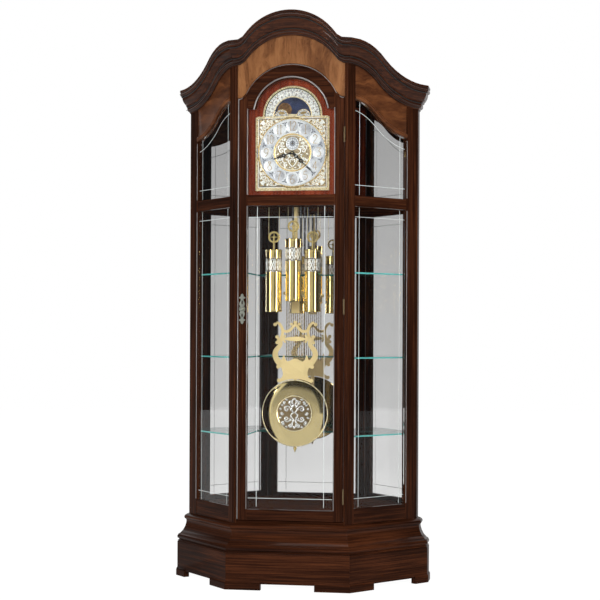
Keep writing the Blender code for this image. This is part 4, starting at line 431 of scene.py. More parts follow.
DIAL_WOOD = wood("dial_veneer", "upright", DIAL_COLORS, 3.0)
BACK_WOOD = wood("plain_board", "upright", BACK_COLORS, 5.0, 0.2, 0.0)
BOARD = wood("inner_boards", "across", CASE_COLORS, 5.0, 0.0, 0.0)
LACQUER = wood("bead_lacquer", "upright", CASE_COLORS, 14.0, 1.0, 1.0, ior=2.2)
CROWN_LACQUER = wood("crown_lacquer", "across", CROWN_COLORS, 11.0, 0.3, 1.0)
# Painted shade: the dark strips in the crown's quirks, where shadow falls between the steps of the moulding.
QUIRK_SHADE = paint("painted_quirk_shade", (0.005, 0.002, 0.0012), 0.5, 0.1)
GLASS = glass("clear_glass", (0.985, 1.0, 0.995)).material
SHELF_GLASS = shelf_glass("shelf_glass", (0.09, 0.36, 0.34))
STRIP_GLASS = shelf_glass("strip_glass", (0.012, 0.085, 0.075))
GROOVE = paint("ground_glass", (0.62, 0.66, 0.65), 0.3, 0.05)
MIRROR = metal("mirror_silver", (0.88, 0.855, 0.86), 0.02, 0.01, 20.0, dark=0.98, bump=0.0)
BRASS = metal("polished_brass", (0.86, 0.67, 0.28), 0.1, 0.03, 90.0)
BOB_BRASS = metal("bob_brass", (0.76, 0.61, 0.31), 0.09, 0.03, 200.0)
MEDAL_BROWN = metal("medallion_ground", (0.24, 0.17, 0.09), 0.4, 0.06, 150.0)
DARK_BRASS = metal("bronzed_brass", (0.17, 0.125, 0.07), 0.34, 0.08)
SATIN = metal("satin_brass", (0.84, 0.7, 0.38), 0.3)
PLATE_BRASS = metal("plate_brass", (0.76, 0.58, 0.26), 0.28, 0.06, 100.0, (1, 1, 14))
SILVER = metal("silvered", (0.86, 0.87, 0.9), 0.22, 0.06, 130.0)
BLUE_SILVER = metal("blued_silver", (0.74, 0.73, 0.7), 0.26, 0.06, 130.0)
WHITE_SILVER = metal("frosted_silver", (0.97, 0.96, 0.92), 0.34, 0.08, 180.0, shine=0.7)
GOLD = metal("dial_gold", (0.83, 0.63, 0.3), 0.26, 0.04, bump=0.0, shine=0.8)
PALE_GOLD = metal("pale_gold", (0.88, 0.75, 0.48), 0.28, 0.05, shine=0.8)
NUMERAL_GOLD = metal("numeral_gold", (0.42, 0.29, 0.12), 0.42, 0.06, 160.0)
SLATE = metal("slate_ink", (0.17, 0.18, 0.21), 0.45, 0.08, 160.0)
STEEL = metal("steel", (0.55, 0.55, 0.56), 0.22)
BLUE_STEEL = metal("blued_steel", (0.12, 0.12, 0.13), 0.24)
PEWTER = metal("antique_silver", (0.4, 0.42, 0.36), 0.34, 0.08, 90.0, dark=0.6)
BLACK = paint("black_enamel", (0.01, 0.01, 0.012), 0.25)


# Mesh building


def place(x, depth, z):
    """A point in metres from millimetres across, forward from the wall and up."""
    return Vector((x * MM, (BACK_Y - depth) * MM, z * MM))


def linked(name, data):
    made = bpy.data.objects.new(name, data)
    scene.collection.objects.link(made)
    return made


def from_shape(name, shape, material, smooth, data=None):
    """An object from a bmesh, in a new mesh or in the one that is given."""
    bmesh.ops.recalc_face_normals(shape, faces=shape.faces)
    data = data or bpy.data.meshes.new(name)
    shape.to_mesh(data)
    shape.free()
    data.materials.clear()
    data.materials.append(material)
    data.shade_smooth()
    data.set_sharp_from_angle(angle=math.radians(smooth))
    return linked(name, data)


def body_of_node(node):
    bodies = frame["record"]["behaviour"]["bodies"].items()
    return next((body for body, nodes in bodies if node in nodes), "case")


def refine(node, material, bevel=0.0, smooth=38, rides=True):
    """A finer copy of a CAD node, welded and with its edges eased."""
    data = frame["nodes"][node].data.copy()
    shape = bmesh.new()
    shape.from_mesh(data)
    bmesh.ops.remove_doubles(shape, verts=shape.verts, dist=0.002 * MM)
    bmesh.ops.dissolve_limit(shape, angle_limit=math.radians(0.3), verts=shape.verts, edges=shape.edges)
    made = from_shape(node + "_fine", shape, material, smooth, data)
    if bevel:
        step = made.modifiers.new("ease", "BEVEL")
        step.width = bevel * MM
        step.segments = 2
        step.limit_method = "ANGLE"
        step.angle_limit = math.radians(32)
    if rides:
        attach(made, body_of_node(node))
    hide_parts(node)
    return made


def finish_mesh(name, shape, material, body="case", smooth=40):
    """An object from a bmesh, riding on a body."""
    made = from_shape(name, shape, material, smooth)
    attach(made, body)
    return made


def bridge_rings(shape, rings, closed=False):
    """Faces between rings of points, capped at both ends unless they close on themselves."""
    made = [[shape.verts.new(point) for point in ring] for ring in rings]
    pairs = list(zip(made, made[1:])) + ([(made[-1], made[0])] if closed else [])
    for lower, upper in pairs:
        for i in range(len(lower)):
            j = (i + 1) % len(lower)
            shape.faces.new((lower[i], lower[j], upper[j], upper[i]))
    if not closed:
        shape.faces.new(made[0])
        shape.faces.new(made[-1])


def spaced(start, end, steps):
    return [start + (end - start) * i / steps for i in range(steps + 1)]


def circle(steps):
    """Cosine and sine of each step of a full turn."""
    return [(math.cos(a), math.sin(a)) for a in spaced(0, 2 * math.pi, steps)[:-1]]


def turned(name, centres, profile, material, body="case", steps=64, closed=False, smooth=40):
    """Solids of revolution about forward axes at (x, z) centres, from (radius, depth) points."""
    shape = bmesh.new()
    for x, z in centres:
        rings = [
            [place(x + r * cos, depth, z + r * sin) for cos, sin in circle(steps)] for r, depth in profile
        ]
        bridge_rings(shape, rings, closed)
    return finish_mesh(name, shape, material, body, smooth)


def slab(name, outline, back, front, material, ease=0.3):
    """An anticlockwise outline of (x, z) points as a slab with an eased front edge."""
    rings = []
    for depth, inset in ((back, 0.0), (front - ease, 0.0), (front, ease)):
        ring = []
        for i, (x, z) in enumerate(outline):
            before, after = outline[i - 1], outline[(i + 1) % len(outline)]
            along = Vector((after[0] - before[0], after[1] - before[1])).normalized()
            ring.append(place(x - along.y * inset, depth, z + along.x * inset))
        rings.append(ring)
    shape = bmesh.new()
    bridge_rings(shape, rings)
    finish_mesh(name, shape, material)


def flat(depth, z0=0.0):
    """The plane at a depth, with heights measured from z0."""
    return lambda x, z, up: place(x, depth + up, z0 + z)


def wrapped(x0, depth0, z0, radius):
    """The skin of an upright cylinder, with places measured round it from its front."""

    def surface(x, z, up):
        turn, reach = x / radius, radius + up
        return place(x0 + reach * math.sin(turn), depth0 + reach * math.cos(turn), z0 + z)

    return surface


def cant_plane(side, offset):
    """A plane parallel to a side pane, with places measured along it from the front corner."""

    def surface(x, z, up):
        spot = ALONG * x + NORMAL * (offset + up)
        return place(side * (CORNER_X + spot.x), CASE_FRONT - spot.y, z)

    return surface


def turned_copy(degrees, flip=1, x=0.0):
    """A copy of local places, mirrored by the flip, turned clockwise and moved sideways."""
    cos, sin = math.cos(math.radians(degrees)), math.sin(math.radians(degrees))
    return lambda u, v: (x + flip * u * cos + v * sin, v * cos - flip * u * sin)


def bezier(points, steps=6):
    """Points along a smooth line through the given (x, z) knots."""
    knots = [Vector(point) for point in points]
    path = []
    for i in range(len(knots) - 1):
        before, start = knots[max(i - 1, 0)], knots[i]
        end, after = knots[i + 1], knots[min(i + 2, len(knots) - 1)]
        for step in range(steps):
            t = step / steps
            bend = (end - before) * t + (2 * before - 5 * start + 4 * end - after) * t**2
            bend += (3 * start - before - 3 * end + after) * t**3
            path.append(tuple(start + bend / 2))
    path.append(tuple(knots[-1]))
    return path


def ogee_drop(run, length, drop, convex_share):
    """How far a level-ended curve of two arcs has fallen after a run from its high end."""
    bend = 2 * math.atan2(drop, length)
    convex = convex_share * length / math.sin(bend)
    concave = (1 - convex_share) * length / math.sin(bend)
    if run <= convex * math.sin(bend):
        return convex - math.sqrt(convex**2 - run**2)
    return drop - (concave - math.sqrt(concave**2 - (length - run) ** 2))


def cant_drop(along):
    """How far the swept lines of a side have fallen, by the run from its front corner."""
    return ogee_drop(min(max(along, 0), CANT), CANT, CANT_DROP, CANT_CONVEX)


ONCE = [turned_copy(0)]
MIRRORED = [turned_copy(0), turned_copy(0, -1)]
EIGHTHS = [turned_copy(degrees, flip) for degrees in range(0, 360, 90) for flip in (1, -1)]
ON_FIELD, ON_ARCH = flat(FIELD, DIAL), flat(FIELD, MOON)


class Relief:
    """Raised ornament drawn in strokes on a surface and repeated by each of its copies."""

    def __init__(self, surface, copies=ONCE):
        self.shape = bmesh.new()
        self.surface = surface
        self.copies = copies

    def stroke(self, points, widths, rise, sides=6):
        """A rounded raised line; widths are half widths, one for all or one for each point."""
        if not isinstance(widths, list):
            widths = [widths] * len(points)
        for copy in self.copies:
            self.draw([copy(*point) for point in points], widths, rise, sides)
        return self

    def draw(self, points, widths, rise, sides):
        last, widest = len(points) - 1, max(widths)
        loop = math.dist(points[0], points[-1]) < 0.0001
        sunk = 0.05
        rings = []
        for i, (x, z) in enumerate(points[:-1] if loop else points):
            ahead = points[min(i + 1, last)]
            behind = points[i - 1 if i else (last - 1 if loop else 0)]
            along = Vector((ahead[0] - behind[0], ahead[1] - behind[1])).normalized()
            ring = []
            for k in range(sides):
                angle = math.pi * k / (sides - 1)
                out = math.cos(angle) * widths[i]
                up = math.sin(angle) * rise * min(1.0, widths[i] / widest + 0.25) - sunk
                ring.append(self.surface(x - along.y * out, z + along.x * out, up))
            rings.append(ring)
        bridge_rings(self.shape, rings, loop)

    def ring(self, radius, width, rise, start=0, end=360, steps=72, x=0.0, z=0.0):
        turns = [math.radians(degrees) for degrees in spaced(start, end, steps)]
        return self.stroke([(x + radius * math.cos(a), z + radius * math.sin(a)) for a in turns], width, rise)

    def scrolls(self, spots, width, rise):
        """Strokes that wind inwards from a start angle, by turns and a hand, and end in a bulb."""
        for x, z, radius, start, turns, hand in spots:
            points, widths = [], []
            for share in spaced(0, 1, 15):
                angle = math.radians(start) + hand * share * turns * 2 * math.pi
                reach = radius * (1 - 0.86 * share**0.85)
                points.append((x + reach * math.cos(angle), z + reach * math.sin(angle)))
                widths.append(width * (0.35 + 0.65 * math.sin(math.pi * min(1.0, share * 1.15 + 0.05))))
            widths[-2:] = [width * 1.1, width]
            self.stroke(points, widths, rise)
        return self

    def leaves(self, spots, width, rise, bend=0.0):
        """Pointed leaves by foot, length and angle anticlockwise from the right."""
        for x, z, length, degrees in spots:
            cos, sin = math.cos(math.radians(degrees)), math.sin(math.radians(degrees))
            points, widths = [], []
            for share in spaced(0, 1, 6):
                reach, aside = length * share, bend * length * share**2
                points.append((x + reach * cos - aside * sin, z + reach * sin + aside * cos))
                widths.append(width * (0.08 + math.sin(math.pi * share**0.8)))
            self.stroke(points, widths, rise)
        return self

    def finish(self, name, material, body="case"):
        return finish_mesh(name, self.shape, material, body, 60)


# The case


def dress_case():
    """Give every CAD node but the cables, the dial's ring and the bob its material."""
    cherry = (
        ("plinth_front", "across", 0.0),
        ("plinth_left", "cant_left", 1.0),
        ("plinth_right", "cant_right", 2.0),
        ("side_frame_left", "frame_left", 8.0),
        ("side_frame_right", "frame_right", 9.0),
        ("door_frame", "door", 10.0),
    )
    for i, (node, grain, seed) in enumerate(cherry):
        refine(node, wood(f"cherry_{grain}_{i}", grain, CASE_COLORS, seed), 1.2)
    for node in ("floor_board", "roof_board", "mid_board", "seatboard"):
        refine(node, BOARD, 1.2)
    for node, grain, seed, coat in (
        ("base_moulding", "mitred", 3.0, 0.12),
        ("cornice_front", "across", 11.0, 0.3),
        ("cornice_left", "cant_left", 12.0, 0.3),
        ("cornice_right", "cant_right", 13.0, 0.3),
    ):
        refine(node, wood(f"crown_{node}", grain, CROWN_COLORS, seed, 0.02, coat), 0.8)
    refine("frieze_front", veneer("golden_veneer", "upright", GOLDEN_VENEER, 0.045), 1.0)
    for name, _ in SIDES:
        refine(f"frieze_{name}", veneer(f"red_veneer_{name}", f"cant_{name}", RED_VENEER, 0.07), 1.0)
    refine("dial_surround", DIAL_WOOD, 1.0)

    for start, material in (
        ("back_panel", BACK_WOOD), ("back_mirror", MIRROR),
        ("door_glass", GLASS), ("side_glass", GLASS), ("shelf", SHELF_GLASS),
    ):
        for node, piece in frame["nodes"].items():
            if node.startswith(start):
                piece.data.materials.clear()
                piece.data.materials.append(material)
    for nodes, material, bevel, smooth in (
        ("hinge_bottom hinge_middle hinge_top", DARK_BRASS, 0.2, 32),
        ("movement", PLATE_BRASS, 0.0, 32),
        ("chime_hammers strike_hammer rating_nut", BRASS, 0.0, 32),
        ("chime_rods", BLUE_STEEL, 0.0, 40),
        ("chime_lever silence_lever", STEEL, 0.0, 40),
        ("weight_left weight_centre weight_right", BRASS, 0.2, 32),
        ("pulley_left pulley_centre pulley_right", BRASS, 0.2, 32),
        ("pendulum_lyre", satin_lyre(), 0.3, 62),
        ("dial_plate", plate_face(), 0.3, 32),
        ("moon_disc", night_sky(), 0.0, 32),
        ("hour_hand minute_hand second_hand", BLACK, 0.0, 32),
        ("door_pull", PEWTER, 0.3, 32),
    ):
        for node in nodes.split():
            refine(node, material, bevel, smooth)


def hang_cables():
    """A finer copy of each cable, riding on no body, with its placement baked into its mesh."""
    for name in ("left", "centre", "right"):
        cable = refine(f"cable_{name}", SATIN, rides=False)
        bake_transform(cable)


def join_shelves():
    """A narrow strip along the mirror that joins each pair of side shelves behind the pendulum."""
    half, thick = 189.5, 6
    for name, top in (("low", 608), ("middle", 920), ("high", 1259)):
        corners = [(-half, top - thick), (half, top - thick), (half, top), (-half, top)]
        slab(f"shelf_strip_{name}", corners, 15.7, 50, STRIP_GLASS, 0.4)


def door_head(x):
    """Height of the door's arched top edge."""
    return DOOR_SHOULDER + DOOR_RISE - ogee_drop(abs(x), DOOR_HALF_WIDTH, DOOR_RISE, DOOR_CONVEX)


def dress_door():
    """Half-round beads on the door's edges and window, and on the side frames."""
    window, inset = 175.5, 2.2
    edge = DOOR_HALF_WIDTH - inset
    beads = Relief(flat(CASE_FRONT), MIRRORED)
    for low, high in ((1566, 1907.5), (315, 1520)):
        beads.stroke([(window, low), (window, high)], 1.6, 2.2)
    beads.stroke([(x, door_head(x) - inset) for x in spaced(0, edge, 32)], 1.9, 2.6)
    beads.finish("door_beads", LACQUER, "door")
    plain = wood("cherry_upright_6", "upright", CASE_COLORS, 15.0)
    for (name, side), material in zip(SIDES, (LACQUER, plain)):
        bead = Relief(flat(CASE_FRONT))
        bead.stroke([(side * edge, 275), (side * edge, DOOR_SHOULDER - 3)], 1.9, 2.6)
        bead.finish(f"door_edge_{name}", material, "door")
        bead = Relief(cant_plane(side, 0.0))
        for low, high in ((325, 1515), (1566, 1800)):
            bead.stroke([(CANT - 62.5, low), (CANT - 62.5, high)], 1.4, 1.8)
        bead.finish(f"frame_bead_{name}", LACQUER)
    opening, bead_radius, middle = 149.5, 151.4, 1879.6
    foot = math.degrees(math.acos(opening / bead_radius))
    arch = Relief(flat(CASE_FRONT + 3.8, middle))
    arch.ring(bead_radius, 3, 3, foot, 180 - foot, 64).finish("door_arch_bead", LACQUER, "door")


def bead_crown():
    """Beads along the crown moulding's noses and strips of painted shade in its quirks, on its front and both
    cants.
    """
    for name, ahead, above, half, material in (
        ("bead_upper", 42.8, 79.2, 1.5, CROWN_LACQUER),
        ("bead_lower", 17.9, 12.4, 1.2, CROWN_LACQUER),
        # The quirk strips are painted shade in the hollows of the profile.
        ("quirk_top", 41.2, 85.2, 1.0, QUIRK_SHADE),
        ("quirk_nose", 35.2, 66.8, 3.0, QUIRK_SHADE),
        ("quirk_step", 14.2, 25.0, 2.8, QUIRK_SHADE),
        ("quirk_foot", 4.7, 5.6, 1.6, QUIRK_SHADE),
    ):
        corner = ahead * math.tan(math.acos(-NORMAL.y) / 2)
        back = ahead * math.tan(math.acos(NORMAL.x) / 2)
        line = []
        for x in spaced(-CORNER_X - corner, CORNER_X + corner, 80):
            drop = ogee_drop(min(abs(x), CORNER_X), CORNER_X, CROWN_RISE, CROWN_CONVEX)
            line.append((x, CROWN_CORNER + CROWN_RISE - drop + above))
        Relief(flat(CASE_FRONT + ahead)).stroke(line, half, half).finish(f"crown_{name}", material)
        line = [(s, CROWN_CORNER - cant_drop(s) + above) for s in spaced(-corner, CANT + back, 30)]
        for end, side in SIDES:
            Relief(cant_plane(side, ahead)).stroke(line, half, half).finish(f"crown_{name}_{end}", material)


def close_head():
    """A board over the dial's surround that closes the slot behind the door's arched head."""
    places = spaced(-200, 200, 48)
    lower = [(x, door_head(x) - 40) for x in places]
    upper = [(x, door_head(x) + 16) for x in reversed(places)]
    slab("surround_head", lower + upper, FIELD - 2.6, FIELD, DIAL_WOOD)


def groove_panes():
    """Cut lines in the panes: upright ones beside the edges and cross ones near the ends."""
    cut = (1, 0.5, 4)
    Relief(flat(PANE_FACE), MIRRORED).stroke([(135.5, 325), (135.5, 1518)], *cut).finish(
        "door_groove_upright", GROOVE, "door"
    )
    lines = Relief(flat(PANE_FACE))
    for z in (358, 1476):
        lines.stroke([(-170, z), (170, z)], *cut)
    lines.finish("door_groove_cross", GROOVE, "door")
    start, end = 46, CANT - 70
    for name, side in SIDES:
        lines = Relief(cant_plane(side, -8))
        for along in (start + 26, end - 26):
            lines.stroke([(along, 325), (along, 1515)], *cut)
            lines.stroke([(along, 1566), (along, 1945 - cant_drop(along))], *cut)
        for z in (360, 1478, 1604):
            lines.stroke([(start, z), (end, z)], *cut)
        swept = [(s, 1904 - cant_drop(s)) for s in spaced(start, end, 20)]
        lines.stroke(swept, *cut).finish(f"side_grooves_{name}", GROOVE)


# The dial

# Strokes of each numeral in hundredths of its height, from its middle
DIGITS = {
    "0": [[(0, 50), (20, 30), (22, 0), (20, -30), (0, -50), (-20, -30), (-22, 0), (-20, 30), (0, 50)]],
    "1": [[(0, 50), (0, -50)], [(-12, 50), (6, 50)], [(-12, -50), (12, -50)]],
    "2": [[(-22, 28), (-12, 46), (6, 50), (20, 34), (15, 8), (-24, -48)], [(-24, -50), (25, -50)]],
    "3": [
        [(-20, 50), (22, 50)],
        [(22, 50), (0, 12)],
        [(0, 12), (20, 0), (22, -26), (6, -47), (-22, -42)],
    ],
    "4": [[(8, -50), (8, 50)], [(8, 50), (-25, -20)], [(-25, -20), (24, -20)]],
    "5": [
        [(20, 50), (-14, 50)],
        [(-14, 50), (-18, 8)],
        [(-18, 8), (6, 13), (21, -6), (18, -32), (0, -49), (-20, -43)],
    ],
    "6": [[(14, 50), (-10, 24), (-22, -12), (-16, -42), (2, -50), (20, -36), (21, -10), (4, 5), (-18, -10)]],
    "7": [[(-22, 50), (22, 50)], [(22, 50), (2, 2), (-6, -50)]],
    "8": [
        [(-18, 50), (18, 50)],
        [(-16, 50), (0, 14), (20, -12), (17, -40), (0, -50), (-17, -40), (-20, -12), (0, 14), (16, 50)],
    ],
}
DIGITS["9"] = [[(-x, -z) for x, z in line] for line in DIGITS["6"]]


def dress_chapter_ring():
    """The hour ring with its cartouches, numerals and small fleurs."""
    inner, outer = 72.2, 134
    profile = ((inner, FIELD + 0.3), (outer, FIELD + 0.3), (outer, RING_FACE - 0.2))
    profile += ((outer - 0.2, RING_FACE), (inner + 0.2, RING_FACE))
    ring = turned("hour_ring", [(0, DIAL)], profile, spun_silver(), steps=144, closed=True)
    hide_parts("chapter_ring")

    hours = {hour or 12: turned_copy(30 * hour)(0, HOUR_REACH) for hour in range(12)}
    profile = [(r, RING_FACE + up) for r, up in ((22.2, -0.1), (22, 0.3), (21.2, 0.6), (10, 0.8), (1, 0.9))]
    centres = [(x, DIAL + z) for x, z in hours.values()]
    turned("cartouches", centres, profile, cartouche_silver(), steps=40, smooth=30)

    numerals = Relief(flat(RING_FACE + 0.7, DIAL))
    height = 34
    for hour, (x, z) in sorted(hours.items()):
        text = str(hour)
        pitch = 12.5 if hour == 11 else 14.5
        squeeze = height * (1.06 if len(text) == 1 else 0.8)
        for i, digit in enumerate(text):
            middle = x + pitch * (i - (len(text) - 1) / 2)
            for line in DIGITS[digit]:
                spots = [(middle + across / 100 * squeeze, z + up / 100 * height) for across, up in line]
                numerals.stroke(bezier(spots, 5) if len(spots) > 2 else spots, 1.15, 0.6)
    numerals.finish("numerals", NUMERAL_GOLD)

    fleurs = Relief(flat(RING_FACE, DIAL), [turned_copy(15 + 30 * i) for i in range(12)])
    fleurs.leaves([(0, 119, 12.5, degrees) for degrees in (270, 20, 160)], 2.3, 0.7)
    fleurs.leaves([(0, 83.5, 7.5, degrees) for degrees in (90, 205, 335)], 1.6, 0.6)
    fleurs.leaves([(0, 123.5, 3.5, 90)], 1.6, 0.7).finish("fleurs", SLATE)
    Relief(flat(RING_FACE, DIAL)).ring(131.8, 0.5, 0.3, steps=120).finish("ring_line", SLATE)


def dress_dial_rings():
    """Gold rings round the hour ring and inside it, and the raised bars and beads of the border."""
    rings = Relief(ON_FIELD).ring(135.5, 1.8, 2.4, steps=120)
    rings.ring(73.8, 3.8, 2.9, steps=120).finish("gold_rings", GOLD)
    lines = Relief(ON_FIELD, EIGHTHS).stroke([(138.5, 34), (138.5, 137.5)], 1.3, 1.5)
    lines.finish("border_white_line", WHITE_SILVER)
    lines = Relief(ON_FIELD, EIGHTHS).stroke([(134.2, 50), (134.2, 134.2)], 0.9, 0.4)
    lines.finish("border_dark_line", SLATE)
    bead, border = 2.6, 139.5
    beads = Relief(ON_FIELD, EIGHTHS)
    beads.leaves([(border - bead, 30, 2 * bead, 0)], bead * 0.92, bead * 0.8)
    beads.finish("border_beads", PALE_GOLD)

    bars = Relief(ON_FIELD, EIGHTHS).stroke([(border, 20.5), (border, 25.8)], 2.6, 2.2)
    for side in (1, -1):
        bars.draw([(-25.5 * side, border * side), (25.5 * side, border * side)], [2.6, 2.6], 2.2, 6)
    bars.finish("border_bars", NUMERAL_GOLD)
    strips = Relief(ON_FIELD)
    for z, half in ((142.8, 142.5), (-142.8, 141.5)):
        strips.stroke([(-half, z), (half, z)], 2.4, 1.9)
    strips.finish("border_strips", PALE_GOLD)


def dress_corners():
    """Leaf scrolls that fill the four corners between the hour ring and the border."""
    corners = Relief(ON_FIELD, EIGHTHS)
    corners.scrolls((
        (113.5, 98.5, 8.5, 60, 1.35, 1), (122.5, 83, 7.8, 250, 1.3, -1),
        (126.5, 65, 5, 60, 1.2, 1), (127.5, 101, 4.8, 300, 1.2, 1),
    ), 1.9, 1.4)
    stem = [(130, 48), (126.5, 56), (131.5, 72), (129, 90), (119, 108), (121.5, 121.5)]
    corners.stroke(bezier(stem), 1.3, 1.2)
    corners.leaves((
        (108, 90, 9, 300), (117.5, 72.5, 8, 200), (123, 56, 7, 240), (120, 94, 8, 20),
        (128.5, 113, 8, 80), (113, 112, 9, 350), (102, 99, 8, 120),
    ), 1.9, 1.3, 0.3)
    fan = [(125.5, 125.5, length, degrees) for degrees, length in ((225, 26), (205, 19), (190, 13))]
    corners.leaves(fan, 2.6, 1.6).finish("corner_scrolls", WHITE_SILVER)


def dress_centre():
    """Acanthus scrolls round the winding holes, the seconds dial, and a gold tab."""
    profile = ((25.2, FIELD - 0.2), (25.2, FIELD + 0.02), (24.9, FIELD + 0.1))
    turned("seconds_dial", [(0, SECONDS)], profile, seconds_face(), steps=80)
    Relief(flat(FIELD, SECONDS)).ring(25.6, 0.9, 1).finish("seconds_rim", SILVER)

    centre = Relief(ON_FIELD, MIRRORED)
    centre.scrolls((
        (44, 8, 13, 190, 1.4, -1), (40, 36, 9, 250, 1.3, 1), (30, 52, 6, 230, 1.2, 1),
        (27, -48, 9.5, 120, 1.35, -1), (50, -26, 8, 100, 1.3, 1), (14.5, -12.5, 6, 330, 1.2, 1),
    ), 2.2, 1)
    for knots in (
        [(0, -23.5), (9, -17), (18, -24), (14, -40), (1.5, -56)],
        [(0, -30), (5.5, -26.5), (10, -31), (7.5, -38.5)],
        [(12, -4), (24, -6), (33, 4), (30, 18)],
        [(33, -14), (40, -24), (37, -38), (26, -40)],
        [(30, 25), (42, 23), (54, 28), (58, 12)],
    ):
        centre.stroke(bezier(knots), 1.7, 1)
    centre.leaves((
        (30, 10, 11, 120), (56, -2, 10, 300), (48, 42, 10, 340), (38, 48, 9, 40),
        (56, 18, 9, 60), (43, -38, 10, 310), (34, -56, 9, 200), (20, -30, 9, 20),
        (56, -34, 8, 60), (15, -60, 8, 160), (32, -8, 10, 330),
    ), 2.2, 1, 0.35)
    centre.finish("centre_scrolls", WHITE_SILVER)
    Relief(ON_FIELD).ring(68.8, 1, 1, 20, 340, 80).finish("centre_line", WHITE_SILVER)
    low, high = DIAL - 67.5, DIAL - 58.5
    slab("centre_tab", [(-6, low), (6, low), (4.5, high), (-4.5, high)], FIELD - 0.2, FIELD + 1.2, PALE_GOLD)


def dress_arch():
    """The arch: filigree band, gold rims, humps with small ovals, the bridge, and the moon disc."""
    fans = [turned_copy(degrees, flip) for degrees in range(-80, 81, 20) for flip in (1, -1)]
    band = Relief(ON_ARCH, fans).scrolls([(7.8, 93.5, 6.4, 200, 1.3, 1)], 1.5, 1.1)
    band.scrolls(((11.8, 103.5, 3.6, 20, 1.1, -1), (7, 84, 3.4, 90, 1.1, -1)), 1.1, 1)
    band.leaves(((0, 98, 10, 80), (1, 89, 8, 300), (13, 90, 8, 60)), 1.4, 1.1, 0.3)
    band.finish("arch_filigree", WHITE_SILVER)
    lines = Relief(ON_ARCH).ring(108, 0.8, 1.1, -2, 182, 90)
    lines.ring(80, 0.7, 0.9, 0, 180, 70).finish("arch_lines", WHITE_SILVER)

    humps = Relief(ON_ARCH, MIRRORED)
    humps.ring(26.2, 1, 1.2, 0, 180, 30, x=44).finish("hump_rims", GOLD)
    Relief(ON_ARCH).ring(76.5, 2.4, 2.1, 0, 180, 70).finish("arch_rim", PALE_GOLD)
    ovals = Relief(ON_ARCH, MIRRORED).leaves([(31, 10.5, 27, 8)], 5.2, 0.6)
    ovals.leaves([(41, 3, 16, 320)], 3.2, 0.6).finish("hump_ovals", NUMERAL_GOLD)
    low, high = MOON - 1, MOON + 7.5
    outline = [(-17.8, low), (17.8, low), (18.2, high), (-18.2, high)]
    slab("arch_bridge", outline, FIELD - 2.2, FIELD + 1, PALE_GOLD)

    across, up = -32, 25
    rim = ((28, MOON_FACE - 0.2), (28, MOON_FACE + 0.3), (27, MOON_FACE + 0.5))
    centres = [(across, MOON + up), (-across, MOON - up)]
    turned("moons", centres, rim, moon_face(), "moon_disc", 56)
    shine = Relief(flat(MOON_FACE, MOON), [turned_copy(0), turned_copy(180)])
    shine.ring(26.8, 1.1, 0.5, 75, 205, 30, across, up).finish("moon_rims", PALE_GOLD, "moon_disc")


# The weights and the pendulum


def dress_weights():
    """A smooth shell with rolled rims on each weight, and an engraved band near its top."""
    skin = WEIGHT_RADIUS - 1.2
    girth, band_middle = 2 * math.pi * skin, 188
    rim = [(WEIGHT_RADIUS - 4, 0), (WEIGHT_RADIUS, 2.5), (WEIGHT_RADIUS, 6), (skin, 8)]
    shell = rim + [(radius, WEIGHT_HEIGHT - z) for radius, z in reversed(rim)]
    ground = ((skin, 161), (skin + 0.2, 161.4), (skin + 0.2, 214.6), (skin, 215))
    repeats = [turned_copy(0, flip, girth * i / 6) for i in range(6) for flip in (1, -1)]
    for name, x, bottom in (("left", -78.5, 1100), ("centre", 0.0, 1143), ("right", 78.5, 1100)):
        body = f"weight_{name}"
        for part, profile, material in (("shell", shell, BRASS), ("ground", ground, DARK_BRASS)):
            shape = bmesh.new()
            bridge_rings(shape, [
                [place(x + r * cos, WEIGHT_DEPTH + r * sin, bottom + z) for cos, sin in circle(72)]
                for r, z in profile
            ])
            finish_mesh(f"weight_{part}_{name}", shape, material, body, 30)
        surface = wrapped(x, WEIGHT_DEPTH, bottom + band_middle, skin)
        band = Relief(surface, repeats)
        band.scrolls(((8.5, 11, 7.8, 200, 1.3, 1), (8.5, -11, 7.8, 160, 1.3, -1)), 1.7, 0.6)
        band.stroke(bezier([(0.5, 22.5), (5, 15), (1, 0), (5, -15), (0.5, -22.5)]), 1.3, 0.6)
        band.leaves(((6, 0, 9, 0), (6, 21, 9, 340), (6, -21, 9, 20)), 2.1, 0.6)
        band.finish(f"weight_band_{name}", WHITE_SILVER, body)
        lines = Relief(surface)
        for z in (-26.5, 26.5):
            lines.stroke([(along, z) for along in spaced(0, girth, 48)], 0.9, 0.6)
        lines.finish(f"weight_lines_{name}", SILVER, body)


def twist_grid():
    """The grid of twisted square rods that hangs through the lyre."""
    reach, pitch, apart, depth = 1.4 * math.sqrt(2), 66, 8.8, 240.8
    shape = bmesh.new()
    for i in range(-4, 5):
        rings = []
        for z in spaced(896, 1176, 120):
            turn = 2 * math.pi * (z / pitch + i / 6) + math.pi / 4
            corners = [turn + math.pi / 2 * side for side in range(4)]
            rings.append([
                place(i * apart + reach * math.cos(a), depth + reach * math.sin(a), z) for a in corners
            ])
        bridge_rings(shape, rings)
    finish_mesh("lyre_grid", shape, DARK_BRASS, "pendulum")


